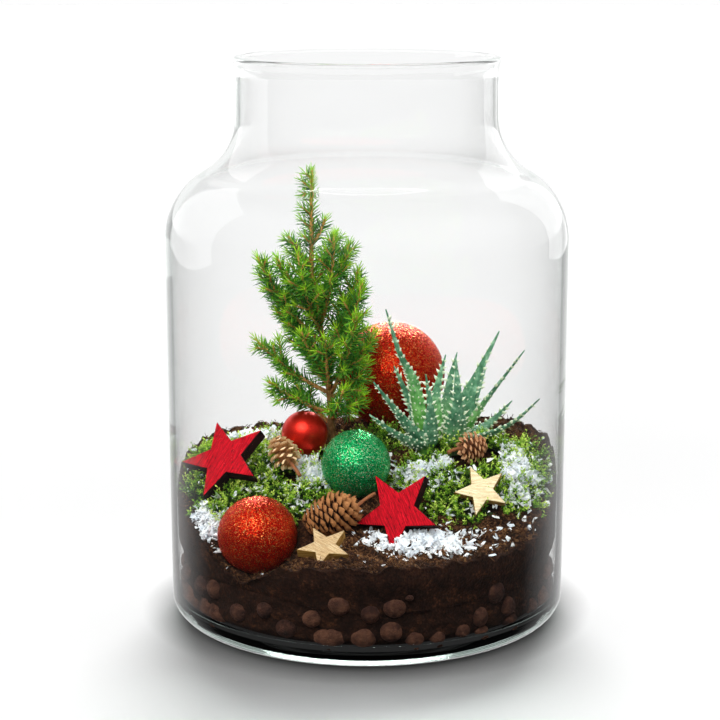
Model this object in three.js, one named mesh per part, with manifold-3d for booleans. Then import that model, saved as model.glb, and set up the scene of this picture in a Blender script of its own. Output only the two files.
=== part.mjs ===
// A planted glass jar: a milk-churn shaped jar with drainage pebbles, potting soil, moss, a dwarf
// spruce, a clump of spider aloe, glitter and satin baubles, wooden stars, cones and paper snow.
// Millimetres, +Z up, origin at the centre of the jar's base, -Y is the front.
import * as THREE from "three";
import { mergeVertices } from "three/addons/utils/BufferGeometryUtils.js";
import Module from "manifold-3d";

// ---- driving dimensions -------------------------------------------------------------------------
const BODY_RADIUS = 100;
const JAR_HEIGHT = 280;
const WALL = 3;
const BASE_THICKNESS = 7;
const HEEL_RADIUS = 10;
const INNER_HEEL = 9;
const NECK_RADIUS = 64.5;
const NECK_WALL = 2.6;
const RIM_BEAD = 1;
const SHOULDER_RADIUS = 37.7;
const THROAT_RADIUS = 32;
const THROAT_TOP = 251.5; // where the straight neck starts to flare
const JAR_SEGMENTS = 36;
const PUNT_RADIUS = 66; // the raised middle of the base, inside the ring that the jar stands on
const PUNT_HEIGHT = 1.2;
const RIM_DEPTH = 5; // the rim bead, from the top down

const GAP = 0.3; // clearance between pieces that touch
const FILL_RADIUS = BODY_RADIUS - WALL - GAP;
const INSCRIBED_RADIUS = FILL_RADIUS * Math.cos(Math.PI / JAR_SEGMENTS) - GAP; // clear of the flats too
const SOIL_FRONT = 49; // soil level at the front wall
const SOIL_RISE = 31; // rise from there to the crest
const SLOPE_FOOT = -76; // y where the slope starts
const SLOPE_LENGTH = 102;
const BACK_DROP = 6;
const BACK_DROP_START = 50;

const PEBBLE_RADIUS = 6.3;
const BED_TOP = 29; // mean height of the line between pebbles and soil
const BED_RADIUS = 90; // the pebbles that touch the glass stand out from here

const NEEDLE_LENGTH = 9;
const NEEDLE_RADIUS = 0.6;
const NEEDLE_ROOT = 0.25; // how far from the twig's axis a needle starts
const TWIG_RADIUS = 1.05;
const GOLDEN_ANGLE = Math.PI * (3 - Math.sqrt(5));

// ---- colours ------------------------------------------------------------------------------------
const material = (color, roughness = 0.8, extra = {}) =>
  new THREE.MeshStandardMaterial({ color, roughness, metalness: 0, ...extra });
const GLASS = material("#dfe9e6", 0.05, { transparent: true, opacity: 0.3 });
const CLAY = material("#6b4231", 0.9);
const SOIL = material("#2e1f17", 1);
const MOSS = material("#5f8a22", 0.95);
const BARK = material("#6a4a30", 0.9);
const NEEDLES = material("#3f8a2c", 0.6);
const ALOE = material("#4f8467", 0.5);
const RED_GLITTER = material("#b51f12", 0.35, { metalness: 0.5 });
const GREEN_GLITTER = material("#0f7d45", 0.35, { metalness: 0.5 });
const RED_SATIN = material("#b3130f", 0.35, { metalness: 0.3 });
const RED_WOOD = material("#b3101f", 0.75);
const GOLD_WOOD = material("#c79a4b", 0.6);
const CONE = material("#8a5a34", 0.85);
const SNOW = material("#eef1f6", 0.9);

// ---- closed shapes, joined and cut ----------------------------------------------------------------
const wasm = await Module();
wasm.setup();

function solid(geometry) {
  const bare = geometry.clone();
  bare.deleteAttribute("normal");
  bare.deleteAttribute("uv");
  const merged = mergeVertices(bare, 1e-4);
  return new wasm.Manifold(
    new wasm.Mesh({
      numProp: 3,
      vertProperties: merged.attributes.position.array,
      triVerts: new Uint32Array(merged.index.array),
    }),
  );
}

function geometryOf(made) {
  const mesh = made.getMesh();
  const geometry = new THREE.BufferGeometry();
  geometry.setAttribute("position", new THREE.BufferAttribute(new Float32Array(mesh.vertProperties), 3));
  geometry.setIndex(new THREE.BufferAttribute(new Uint32Array(mesh.triVerts), 1));
  geometry.computeVertexNormals();
  return geometry;
}

// The largest body of a solid, so that a scrap cut loose is dropped.
function largest(made) {
  const bodies = made.decompose();
  return bodies.reduce((a, b) => (b.volume() > a.volume() ? b : a));
}
const fuse = (parts) => largest(wasm.Manifold.union(parts));
const cut = (made, tools) => largest(made.subtract(wasm.Manifold.union(tools)));

const part = new THREE.Group();
function addNode(name, made, look) {
  const mesh = new THREE.Mesh(geometryOf(made), look);
  mesh.name = name;
  part.add(mesh);
}

// ---- small maths ----------------------------------------------------------------------------------
const V = (x, y, z) => new THREE.Vector3(x, y, z);
const clamp01 = (t) => Math.min(1, Math.max(0, t));
const smooth = (t) => clamp01(t) ** 2 * (3 - 2 * clamp01(t));
const hill = (x, y, cx, cy, spread) => Math.exp(-((x - cx) ** 2 + (y - cy) ** 2) / (2 * spread ** 2));

function seeded(seed) {
  let state = seed;
  return () => {
    state = (state * 1664525 + 1013904223) % 4294967296;
    return state / 4294967296;
  };
}

// A lathe turned about Z from [radius, height] pairs.
function turned(profile, segments) {
  const points = profile.map(([r, z]) => new THREE.Vector2(r, z));
  return new THREE.LatheGeometry(points, segments).rotateX(Math.PI / 2);
}

function arc(centreR, centreZ, radius, from, to, steps) {
  return Array.from({ length: steps + 1 }, (_, i) => {
    const a = from + ((to - from) * i) / steps;
    return [centreR + radius * Math.cos(a), centreZ + radius * Math.sin(a)];
  });
}

// A tube whose section is scaled along a curve: width and thickness are functions of t from 0 to 1.
function bentTube(curve, width, thickness, sides, steps, facing = V(0, 0, 1)) {
  const geometry = new THREE.CylinderGeometry(1, 1, 1, sides, steps);
  const position = geometry.attributes.position;
  for (let i = 0; i < position.count; i += 1) {
    const t = clamp01(position.getY(i) + 0.5);
    const centre = curve.getPointAt(t);
    const along = curve.getTangentAt(t);
    const across = V().crossVectors(along, facing).normalize();
    const outward = V().crossVectors(across, along);
    centre.addScaledVector(across, position.getX(i) * width(t));
    centre.addScaledVector(outward, position.getZ(i) * thickness(t));
    position.setXYZ(i, centre.x, centre.y, centre.z);
  }
  return geometry;
}

// A three-sided spike from a root point along a direction.
function spike(root, direction, length, radius) {
  const geometry = new THREE.ConeGeometry(radius, length, 3, 1);
  const turn = new THREE.Quaternion().setFromUnitVectors(V(0, 1, 0), direction.clone().normalize());
  geometry.translate(0, length / 2, 0).applyQuaternion(turn);
  return geometry.translate(root.x, root.y, root.z);
}

// ---- jar ------------------------------------------------------------------------------------------
const sweep = Math.acos(1 - (BODY_RADIUS - NECK_RADIUS) / (SHOULDER_RADIUS + THROAT_RADIUS));
const SHOULDER_START = THROAT_TOP - (SHOULDER_RADIUS + THROAT_RADIUS) * Math.sin(sweep);
const shoulderCentre = BODY_RADIUS - SHOULDER_RADIUS;
const throatCentre = NECK_RADIUS + THROAT_RADIUS;
const innerBody = BODY_RADIUS - WALL;
const innerNeck = NECK_RADIUS - NECK_WALL;

function jarProfile() {
  return [
    [0, PUNT_HEIGHT],
    [PUNT_RADIUS, PUNT_HEIGHT],
    [PUNT_RADIUS + 2, 0],
    ...arc(BODY_RADIUS - HEEL_RADIUS, HEEL_RADIUS, HEEL_RADIUS, -Math.PI / 2, 0, 3),
    ...arc(shoulderCentre, SHOULDER_START, SHOULDER_RADIUS, 0, sweep, 4),
    ...arc(throatCentre, THROAT_TOP, THROAT_RADIUS, Math.PI + sweep, Math.PI, 4).slice(1),
    [NECK_RADIUS, JAR_HEIGHT - RIM_DEPTH],
    [NECK_RADIUS + RIM_BEAD, JAR_HEIGHT - RIM_DEPTH + 1],
    [NECK_RADIUS + RIM_BEAD, JAR_HEIGHT - 1],
    [NECK_RADIUS + RIM_BEAD - 1, JAR_HEIGHT],
    [innerNeck + 1, JAR_HEIGHT],
    [innerNeck, JAR_HEIGHT - 1],
    ...arc(throatCentre, THROAT_TOP, THROAT_RADIUS + NECK_WALL, Math.PI, Math.PI + sweep, 3),
    ...arc(shoulderCentre, SHOULDER_START, SHOULDER_RADIUS - WALL, sweep, 0, 3).slice(1),
    ...arc(innerBody - INNER_HEEL, BASE_THICKNESS + INNER_HEEL, INNER_HEEL, 0, -Math.PI / 2, 3),
    [0, BASE_THICKNESS],
  ];
}
addNode("glass_jar", solid(turned(jarProfile(), JAR_SEGMENTS)), GLASS);

// ---- ground: heights of soil and moss ---------------------------------------------------------------
const BAUBLES = {
  red_front: { at: V(-52.6, -56, 53.7), radius: 19.2, look: RED_GLITTER },
  green: { at: V(-5.5, -21.5, 79.9), radius: 17.4, look: GREEN_GLITTER },
  red_satin: { at: V(-31.9, 5, 88.5), radius: 11.9, look: RED_SATIN },
  red_back: { at: V(13, 50, 109.2), radius: 28.7, look: RED_GLITTER },
};

const PRESSED = { x: -55, y: -67, depth: 14, spread: 15 }; // the seat of the front red ball
const MOUNDED = { x: 13, y: 50, height: 4, spread: 20 }; // the soil heaped under the back red ball

function soilHeight(x, y) {
  const side = x / BODY_RADIUS; // the bank is steeper and higher on the right
  const slope = smooth((y - SLOPE_FOOT - 12 * side) / (SLOPE_LENGTH - 20 * side));
  const back = smooth((y - BACK_DROP_START) / (BODY_RADIUS - BACK_DROP_START));
  const pressed = PRESSED.depth * hill(x, y, PRESSED.x, PRESSED.y, PRESSED.spread);
  const mounded = MOUNDED.height * hill(x, y, MOUNDED.x, MOUNDED.y, MOUNDED.spread);
  const coarse = 1.1 * Math.sin(0.31 * x + 1.3) * Math.sin(0.27 * y);
  const fine = 0.7 * Math.sin(0.53 * x + 0.44 * y);
  return SOIL_FRONT + (SOIL_RISE + 4 * side) * slope - BACK_DROP * back - pressed + mounded + coarse + fine;
}

// The line between the pebbles and the soil wanders up and down around the glass.
function bedTop(x, y) {
  const bearing = Math.atan2(y, x);
  const wander = 2.5 * Math.sin(2 * bearing + 0.6) + 1.8 * Math.sin(5 * bearing);
  return BED_TOP + (wander * Math.hypot(x, y)) / FILL_RADIUS;
}

// Turned blocks are drawn with their upper or lower face at a marker height, which is then moved.
const LIFTED_FACE = 200;
function shapeFace(geometry, heightAt) {
  const position = geometry.attributes.position;
  for (let i = 0; i < position.count; i += 1) {
    const [x, y, z] = [position.getX(i), position.getY(i), position.getZ(i)];
    if (z === LIFTED_FACE) position.setZ(i, heightAt(x, y));
    if (z === -LIFTED_FACE) position.setZ(i, bedTop(x, y) + GAP);
  }
  return solid(geometry);
}

function soilBlock() {
  const ringCount = 7;
  const rings = Array.from({ length: ringCount + 1 }, (_, i) => FILL_RADIUS * (1 - i / ringCount));
  const surface = rings.map((radius) => [radius, LIFTED_FACE]);
  const floor = [0, FILL_RADIUS / 2, FILL_RADIUS].map((radius) => [radius, -LIFTED_FACE]);
  return shapeFace(turned([...floor, ...surface], JAR_SEGMENTS), soilHeight);
}

// Expanded clay: a bed with the pebbles that touch the glass standing out of its side.
const PEBBLE_ROWS = [
  { level: 15, count: 27, drift: 1, inset: 1.2 }, // set in where the heel of the jar is round
  { level: 24.5, count: 22, drift: 1.5, inset: 0 },
];

function pebbleBed() {
  const random = seeded(7);
  const floor = BASE_THICKNESS + GAP;
  const heel = 7;
  const side = arc(BED_RADIUS - heel, floor + heel, heel, -Math.PI / 2, 0, 2);
  const top = [[BED_RADIUS, LIFTED_FACE], [BED_RADIUS / 2, LIFTED_FACE], [0, LIFTED_FACE]];
  const pieces = [shapeFace(turned([[0, floor], ...side, ...top], JAR_SEGMENTS), bedTop)];
  for (const { level, count, drift, inset } of PEBBLE_ROWS) {
    for (let i = 0; i < count; i += 1) {
      const size = PEBBLE_RADIUS * (0.85 + 0.3 * random());
      const radii = V(0.9 + 0.25 * random(), 0.9 + 0.1 * random(), 0.85 + 0.2 * random());
      radii.multiplyScalar(size);
      const bearing = ((i + 0.35 * random()) / count) * 2 * Math.PI + level;
      const reach = INSCRIBED_RADIUS - radii.y - inset;
      const highest = bedTop(-reach * Math.sin(bearing), reach * Math.cos(bearing)) - radii.z - 0.6;
      const lowest = floor + radii.z + 0.5;
      const height = Math.max(level + drift * (2 * random() - 1), lowest);
      const pebble = new THREE.IcosahedronGeometry(1, 0).rotateY(3 * random());
      if (height > highest) continue;
      pebble.scale(radii.x, radii.y, radii.z).translate(0, reach, height).rotateZ(bearing);
      pieces.push(solid(pebble));
    }
  }
  return fuse(pieces);
}

// A blanket that follows the ground: an oval of polar rings, with a rounded edge and small tufts.
const BLANKET_FLOOR = 36; // drawn from inside the soil, which is then cut away
function blanket({ centre, reach, thickness, turn, tufts, rings, spokes }, groundHeight) {
  const surface = Array.from({ length: rings + 1 }, (_, i) => [1 - i / rings, LIFTED_FACE]);
  const geometry = turned([[0, BLANKET_FLOOR], [1, BLANKET_FLOOR], ...surface], spokes);
  const position = geometry.attributes.position;
  for (let i = 0; i < position.count; i += 1) {
    const [u, v] = [position.getX(i), position.getY(i)];
    const angle = Math.atan2(v, u);
    const wave = 1 + 0.07 * Math.sin(3 * angle + turn) + 0.05 * Math.sin(5 * angle + 2 * turn);
    let x = centre[0] + reach[0] * wave * u;
    let y = centre[1] + reach[1] * wave * v;
    const fromAxis = Math.hypot(x, y);
    if (fromAxis > INSCRIBED_RADIUS) {
      x *= INSCRIBED_RADIUS / fromAxis;
      y *= INSCRIBED_RADIUS / fromAxis;
    }
    const edge = Math.hypot(u, v);
    const ripple = Math.sin(1.9 * x + 0.7 * y) * Math.cos(1.3 * y - 0.5 * x);
    const swell = thickness * (1 - edge ** 3) + tufts * ripple * (1 - edge);
    const top = groundHeight(x, y) + Math.max(swell, -1);
    position.setXYZ(i, x, y, position.getZ(i) === LIFTED_FACE ? top : BLANKET_FLOOR);
  }
  return solid(geometry);
}

const LARGE_BED = { tufts: 1.6, rings: 4, spokes: 16 };
const SMALL_BED = { tufts: 0.8, rings: 3, spokes: 12 };
const MOSS_BEDS = {
  moss_left: { centre: [-52, -8], reach: [44, 44], thickness: 8, turn: 1, ...LARGE_BED },
  moss_right: { centre: [53, -13], reach: [42, 31], thickness: 8, turn: 2.2, ...LARGE_BED },
  moss_middle: { centre: [6, 20], reach: [17, 11], thickness: 5, turn: 0.4, ...SMALL_BED },
};
function mossHeight(x, y) {
  const beds = Object.values(MOSS_BEDS).map(({ centre, reach, thickness }) => {
    const edge = Math.hypot((x - centre[0]) / reach[0], (y - centre[1]) / reach[1]);
    return edge < 1 ? thickness * (1 - edge ** 3) : 0;
  });
  return soilHeight(x, y) + Math.max(...beds);
}

const DRIFT = { tufts: 0.5, rings: 2, spokes: 11 };
const SNOW_DRIFTS = {
  snow_front: { centre: [27, -61], reach: [24, 10], thickness: 3.2, turn: 0.5, ...DRIFT },
  snow_left: { centre: [-77, -46], reach: [10, 11], thickness: 2.6, turn: 1.5, ...DRIFT },
  snow_behind_star: { centre: [-58, 20], reach: [15, 9], thickness: 3, turn: 2.5, ...DRIFT },
  snow_middle: { centre: [-27, -17], reach: [9, 9], thickness: 3, turn: 3.1, ...DRIFT },
  snow_moss_right: { centre: [27, -18], reach: [13, 7], thickness: 3, turn: 0.2, ...DRIFT },
  snow_right: { centre: [75, -20], reach: [9, 15], thickness: 2.2, turn: 1.1, ...DRIFT },
};

// ---- baubles, stars and cones -------------------------------------------------------------------------
function ball(at, radius, detail) {
  return solid(new THREE.IcosahedronGeometry(radius, detail).translate(at.x, at.y, at.z));
}
const bauble = ({ at, radius }) => ball(at, radius, 3);
// The hollow has fewer facets, so it is drawn larger by what their flats cut off.
const baubleHollow = ({ at, radius }) => ball(at, 1.025 * radius + 0.35, 2);

const DEGREES = Math.PI / 180;
const RED_SLAB = { look: RED_WOOD, depth: 6.5 };
const RED_THICK = { look: RED_WOOD, depth: 7 };
const GOLD_SLAB = { look: GOLD_WOOD, depth: 5.5 };
const STARS = {
  star_red_left: { at: V(-71.5, -22, 83.7), tilt: [-53.3, -11.5, -20.7], radius: 23, ...RED_SLAB },
  star_red_right: { at: V(14.2, -52.5, 64.8), tilt: [-43.2, -27.7, -23.4], radius: 22, ...RED_THICK },
  star_gold_front: { at: V(-20.2, -75.5, 54.7), tilt: [-61.2, -24.9, -5.3], radius: 13.2, ...GOLD_SLAB },
  star_gold_right: { at: V(56.2, -36, 70.7), tilt: [-37.4, -22.8, -1.2], radius: 13.7, ...GOLD_SLAB },
};
const STAR_WAIST = 0.42; // inner corner radius over tip radius

// A five-pointed slab whose painted face passes through `at`, turned by tilt in degrees about X, Y and Z.
function star({ at, tilt, radius, depth }, clearance = 0) {
  const outline = new THREE.Shape();
  for (let i = 0; i < 10; i += 1) {
    const a = Math.PI / 2 + (i * Math.PI) / 5;
    const reach = i % 2 === 0 ? radius + 3 * clearance : radius * STAR_WAIST + 1.3 * clearance;
    outline[i === 0 ? "moveTo" : "lineTo"](reach * Math.cos(a), reach * Math.sin(a));
  }
  const slab = new THREE.ExtrudeGeometry(outline, { depth: depth + 2 * clearance, bevelEnabled: false });
  slab.translate(0, 0, -depth - clearance).rotateX(Math.PI / 2);
  const turn = new THREE.Euler(...tilt.map((d) => d * DEGREES), "XYZ");
  slab.applyQuaternion(new THREE.Quaternion().setFromEuler(turn));
  return solid(slab.translate(at.x, at.y, at.z));
}

const SMALL_CONE = { radius: 7.6, rows: 5 };
const LARGE_CONE = { radius: 10.4, rows: 8 };
const CONES = {
  cone_left: { foot: V(-38, -22, 80), tip: V(-46.5, -12, 90), stalk: V(-33.2, -29, 75.8), ...SMALL_CONE },
  cone_middle: { foot: V(-5.5, -48, 65), tip: V(-29.5, -56, 58.9), stalk: V(4, -42, 70.5), ...LARGE_CONE },
  cone_right: { foot: V(47.4, -11, 84.6), tip: V(59.8, -7, 86.6), stalk: V(40.4, -14, 83.6), ...SMALL_CONE },
};
const SCALES_ROUND = 7; // scales in one turn of a row
const eggShape = (t) => Math.sin(Math.PI * (0.1 + 0.82 * t ** 0.85)) ** 0.75;

// Overlapping rows of scales: each row runs out to the scales' lips and drops back under them.
function cone({ foot, tip, radius, rows, stalk }) {
  const sides = 2 * SCALES_ROUND;
  const steps = 2 * rows;
  const body = new THREE.CylinderGeometry(1, 1, 1, sides, steps);
  const position = body.attributes.position;
  const along = V().subVectors(tip, foot).normalize();
  const across = V().crossVectors(along, V(0.3, 0.2, 1)).normalize();
  const upward = V().crossVectors(across, along);
  for (let i = 0; i < position.count; i += 1) {
    const step = Math.round((position.getY(i) + 0.5) * steps);
    const row = Math.floor(step / 2);
    const [u, v] = [position.getX(i), position.getZ(i)];
    const corner = Math.round((Math.atan2(u, v) * sides) / (2 * Math.PI));
    const lip = step % 2 === 1;
    const onScale = (corner + row + 64) % 2 === 0;
    const t = (step + (lip ? 0.55 : 0)) / steps;
    const depth = lip ? (onScale ? 1 : 0.72) : 0.66;
    const point = foot.clone().lerp(tip, clamp01(t));
    const ring = radius * eggShape(clamp01(t)) * depth;
    point.addScaledVector(across, u * ring).addScaledVector(upward, v * ring);
    position.setXYZ(i, point.x, point.y, point.z);
  }
  const stem = new THREE.LineCurve3(stalk, foot.clone().lerp(tip, 0.12));
  return fuse([solid(body), solid(bentTube(stem, () => 0.95, () => 0.95, 5, 1, V(0.2, 0.3, 1)))]);
}

// The plain hollow that a cone leaves in what it lies on.
function coneHollow({ foot, tip, radius, stalk }) {
  const long = new THREE.LineCurve3(foot.clone().lerp(tip, -0.08), tip.clone().lerp(foot, -0.22));
  const width = (t) => 1.16 * radius * Math.max(eggShape(t), 0.4) + 0.6;
  const stem = new THREE.LineCurve3(stalk.clone().lerp(foot, -0.1), foot);
  return [
    solid(bentTube(long, width, width, 7, 3, V(0.3, 0.2, 1))),
    solid(bentTube(stem, () => 1.6, () => 1.6, 4, 1, V(0.2, 0.3, 1))),
  ];
}

// ---- spruce ---------------------------------------------------------------------------------------------
const TRUNK_FOOT = V(-19, 15, 52);
const TRUNK_TOP = V(-28.2, 14, 171);
const LEADER_TIP = V(-27.8, 13, 221);
const LEADER_RADIUS = 1.25;
const LEADER_NEEDLES = 24;
const trunkLine = new THREE.CatmullRomCurve3([TRUNK_FOOT, V(-19.1, 15, 108), V(-25, 14.5, 150), TRUNK_TOP]);
const trunkRadius = (t) => 2.5 - 1.2 * t;
const SPACING = 0.1; // the least air between a shoot and its stem

// Each shoot: the height it leaves the stem, its tip, and its needle count.
const SHOOTS = [
  [186, V(-21, 13.5, 199), 6],
  [175, V(-39.5, 11, 190), 7],
  [163, V(-16.5, 24, 190), 10],
  [152, V(-9, 19, 185), 10],
  [148, V(-46, 20, 177), 11],
  [143, V(-16.5, 7, 191), 15],
  [139, V(-34.5, 0, 183), 13],
  [136, V(-31, 33, 173), 11],
  [133, V(-55, 8, 179), 15],
  [130, V(-4.5, 21, 171), 11],
  [126, V(-50, 19, 162), 11],
  [122, V(-2.5, 9, 166), 12],
  [120, V(-14, 35, 154), 11],
  [116, V(-33, -1, 143), 9],
  [114, V(4, 18, 139), 9],
  [112, V(-41, 35, 147), 11],
  [110, V(-21, -4, 140), 10],
  [107, V(-57, 11, 137), 12],
  [106, V(-5, -1, 152), 12],
  [103, V(0.5, 12, 124), 9],
  [100, V(-22, 37, 128), 10],
  [97, V(-50, 5, 116), 9],
  [94, V(-2, 9, 109), 7],
  [92, V(-12, -1, 113), 8],
  [90, V(-38, 34, 109), 9],
];

// Point on the stem, trunk or leader, at a height.
function stemAt(height) {
  if (height > TRUNK_TOP.z) {
    return TRUNK_TOP.clone().lerp(LEADER_TIP, (height - TRUNK_TOP.z) / (LEADER_TIP.z - TRUNK_TOP.z));
  }
  let [low, high] = [0, 1];
  for (let i = 0; i < 24; i += 1) {
    const middle = (low + high) / 2;
    if (trunkLine.getPointAt(middle).z < height) low = middle;
    else high = middle;
  }
  return trunkLine.getPointAt(low);
}

// Least distance between two segments, for keeping needles clear of what isn't their own shoot.
function segmentGap(p, q, r, s) {
  const [d1, d2, w] = [V().subVectors(q, p), V().subVectors(s, r), V().subVectors(p, r)];
  const [a, b, c, d, e] = [d1.dot(d1), d1.dot(d2), d2.dot(d2), d1.dot(w), d2.dot(w)];
  const denominator = a * c - b * b;
  let t1 = denominator > 1e-9 ? clamp01((b * e - c * d) / denominator) : 0;
  const t2 = clamp01((b * t1 + e) / c);
  t1 = clamp01((b * t2 - d) / a);
  return V().addVectors(p, d1.multiplyScalar(t1)).distanceTo(V().addVectors(r, d2.multiplyScalar(t2)));
}

const shoots = [];
const addShoot = (curve, thick, needles) => shoots.push({ curve, thick, needles, own: shoots.length });
const leaderFoot = TRUNK_TOP.clone().setZ(TRUNK_TOP.z + 0.4);
addShoot(new THREE.LineCurve3(leaderFoot, LEADER_TIP), LEADER_RADIUS, LEADER_NEEDLES);
for (const [height, tip, needles] of SHOOTS) {
  const seat = stemAt(height);
  const outward = V(tip.x - seat.x, tip.y - seat.y, 0).normalize();
  const up = (height - TRUNK_FOOT.z) / (TRUNK_TOP.z - TRUNK_FOOT.z);
  const stem = up > 1 ? LEADER_RADIUS : trunkRadius(up);
  const root = seat.clone().addScaledVector(outward, stem + TWIG_RADIUS + SPACING);
  const elbow = root.clone().lerp(tip, 0.45).addScaledVector(outward, 0.1 * root.distanceTo(tip));
  elbow.z -= 0.05 * root.distanceTo(tip);
  addShoot(new THREE.QuadraticBezierCurve3(root, elbow, tip), TWIG_RADIUS, needles);
}

// The segments that a needle of another shoot has to clear.
const taken = [];
function claim(curve, steps, radius, own) {
  for (let i = 0; i < steps; i += 1) {
    taken.push({ a: curve.getPointAt(i / steps), b: curve.getPointAt((i + 1) / steps), radius, own });
  }
}
for (const { curve, thick, own } of shoots) claim(curve, 6, thick, own);
claim(trunkLine, 8, trunkRadius(0), -1);
const NEEDLE_AIR = 0.35; // between needles of two shoots
const BAUBLE_AIR = 0.5;

function needleFits(root, end, own) {
  const clearOf = ({ at, radius }) => {
    const above = V(at.x, at.y, at.z + 0.01);
    return segmentGap(root, end, at, above) >= radius + NEEDLE_RADIUS + BAUBLE_AIR;
  };
  const clearOfShoot = (other) => {
    return segmentGap(root, end, other.a, other.b) > other.radius + NEEDLE_RADIUS + NEEDLE_AIR;
  };
  const clearOfRest = taken.every((other) => other.own === own || clearOfShoot(other));
  return clearOfRest && Object.values(BAUBLES).every(clearOf);
}

const BUD_START = 0.93; // from here up a shoot's needles are short and close to the twig
function shootSolid({ curve, thick, needles, own }) {
  const radius = (t) => thick * (1 - 0.25 * t);
  const pieces = [solid(bentTube(curve, radius, radius, 5, 3, V(0.31, 0.2, 0.1)))];
  for (let i = 0; i < needles; i += 1) {
    const t = Math.min(0.1 + (0.9 * (i + 0.5)) / needles, 0.985);
    const root = curve.getPointAt(t);
    const along = curve.getTangentAt(t);
    const aside = V().crossVectors(along, V(0.3, 0.9, 0.1)).normalize();
    aside.applyAxisAngle(along, i * GOLDEN_ANGLE + own);
    const inBud = t > BUD_START;
    const lean = inBud ? 0.45 : 0.95;
    const direction = along.clone().multiplyScalar(Math.cos(lean)).addScaledVector(aside, Math.sin(lean));
    const length = NEEDLE_LENGTH * (inBud ? 0.75 : 1);
    const end = root.clone().addScaledVector(direction, length);
    const start = root.clone().addScaledVector(direction, radius(t) + 0.3);
    if (!needleFits(start, end, own)) continue;
    taken.push({ a: start, b: end, radius: NEEDLE_RADIUS, own });
    root.addScaledVector(direction, NEEDLE_ROOT);
    pieces.push(solid(spike(root, direction, length - NEEDLE_ROOT, NEEDLE_RADIUS)));
  }
  return fuse(pieces);
}

// ---- aloe -------------------------------------------------------------------------------------------------
// Each leaf: its line from the heart of the rosette to its tip, and its width at the base.
const ALOE_STEPS = 9;
const ALOE_TOOTH = 1.8;
const ALOE_LEFT = {
  heart: V(30, 3, 79),
  leaves: [
    [V(29, 2, 88), V(23.2, -1, 118.9), V(16.7, -3, 132.3), V(9.5, -4, 155), 9],
    [V(31.5, -1, 86), V(32.2, -4, 98), V(31.7, -6, 107), V(29.5, -5, 122), 8],
    [V(27.7, 0, 87), V(20, -4, 97), V(13.3, -7, 106), V(3.3, -9, 119), 10],
    [V(26, 0, 85), V(20, -6, 89), V(12.5, -10, 94), V(1.2, -12, 103), 11],
    [V(30, 6, 87), V(25, 12, 98), V(20, 15, 108), V(14, 14, 122), 9],
    [V(33, 5, 88), V(34.5, 9, 103), V(36.5, 12, 113), V(40.3, 14, 128), 9],
  ],
};
const ALOE_RIGHT = {
  heart: V(45.5, 10, 79),
  leaves: [
    [V(44.5, 6, 86), V(45.5, 1, 98), V(46, -1, 108), V(45, 1, 128), 12],
    [V(47, 11, 88), V(53, 15, 108), V(58, 17, 119), V(68, 18, 139.5), 11],
    [V(48, 9, 87), V(57, 8, 101), V(65, 7, 112), V(80, 6, 132), 9],
    [V(49, 8, 85), V(62, 5, 89), V(75, 3, 96), V(88, 3, 107.5), 9],
    [V(48.5, 13, 85), V(60, 20, 88), V(68, 24, 93), V(76, 26, 101), 8],
    [V(44, 14, 87), V(42, 22, 100), V(43, 26, 110), V(47, 29, 126), 9],
    [V(47, 15, 87), V(54, 26, 97), V(58, 33, 104), V(63, 39, 116), 8],
  ],
};

// A fleshy leaf: flat inside, round outside, with a tooth on both margins at every second step.
function aloeLeaf([foot, low, high, tip, wide], heart) {
  const curve = new THREE.CatmullRomCurve3([heart.clone().setZ(heart.z + 3), foot, low, high, tip]);
  const inward = V(heart.x - high.x, heart.y - high.y, 22).normalize();
  const taper = (t) => (0.62 + 0.38 * Math.sin(Math.PI * clamp01(t * 1.6))) * (1 - t ** 1.8) + 0.06;
  const leaf = new THREE.CylinderGeometry(1, 1, 1, 5, ALOE_STEPS);
  const position = leaf.attributes.position;
  for (let i = 0; i < position.count; i += 1) {
    const step = Math.round((position.getY(i) + 0.5) * ALOE_STEPS);
    const t = step / ALOE_STEPS;
    const [u, v] = [position.getX(i), position.getZ(i)];
    const toothed = step % 2 === 1 && step > 2 && Math.abs(u) > 0.9;
    const half = (wide / 2) * taper(t);
    const across = V().crossVectors(curve.getTangentAt(t), inward).normalize();
    const outward = V().crossVectors(across, curve.getTangentAt(t));
    const point = curve.getPointAt(t);
    point.addScaledVector(across, u * half + (toothed ? Math.sign(u) * ALOE_TOOTH : 0));
    point.addScaledVector(outward, (v > 0.5 ? 0.2 : v) * (0.5 * half + 0.4));
    position.setXYZ(i, point.x, point.y, point.z);
  }
  return solid(leaf);
}

function rosette({ heart, leaves }) {
  const stem = new THREE.LineCurve3(V(heart.x, heart.y, heart.z - 16), V(heart.x, heart.y, heart.z + 7));
  const neck = (t) => 3.2 + 1.8 * t;
  const fleshy = leaves.map((leaf) => aloeLeaf(leaf, heart));
  return fuse([solid(bentTube(stem, neck, neck, 8, 2, V(0, 1, 0))), ...fleshy]);
}

// The plain hole that a rosette's stem stands in, opening to a dish under its lowest leaves.
const ROSETTE_DISH = [[0, -16.3], [3.7, -16.3], [4.85, -2], [19, 8], [19, 14], [0, 14]];
const rosetteHole = ({ heart }) => solid(turned(ROSETTE_DISH, 12).translate(heart.x, heart.y, heart.z));

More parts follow.
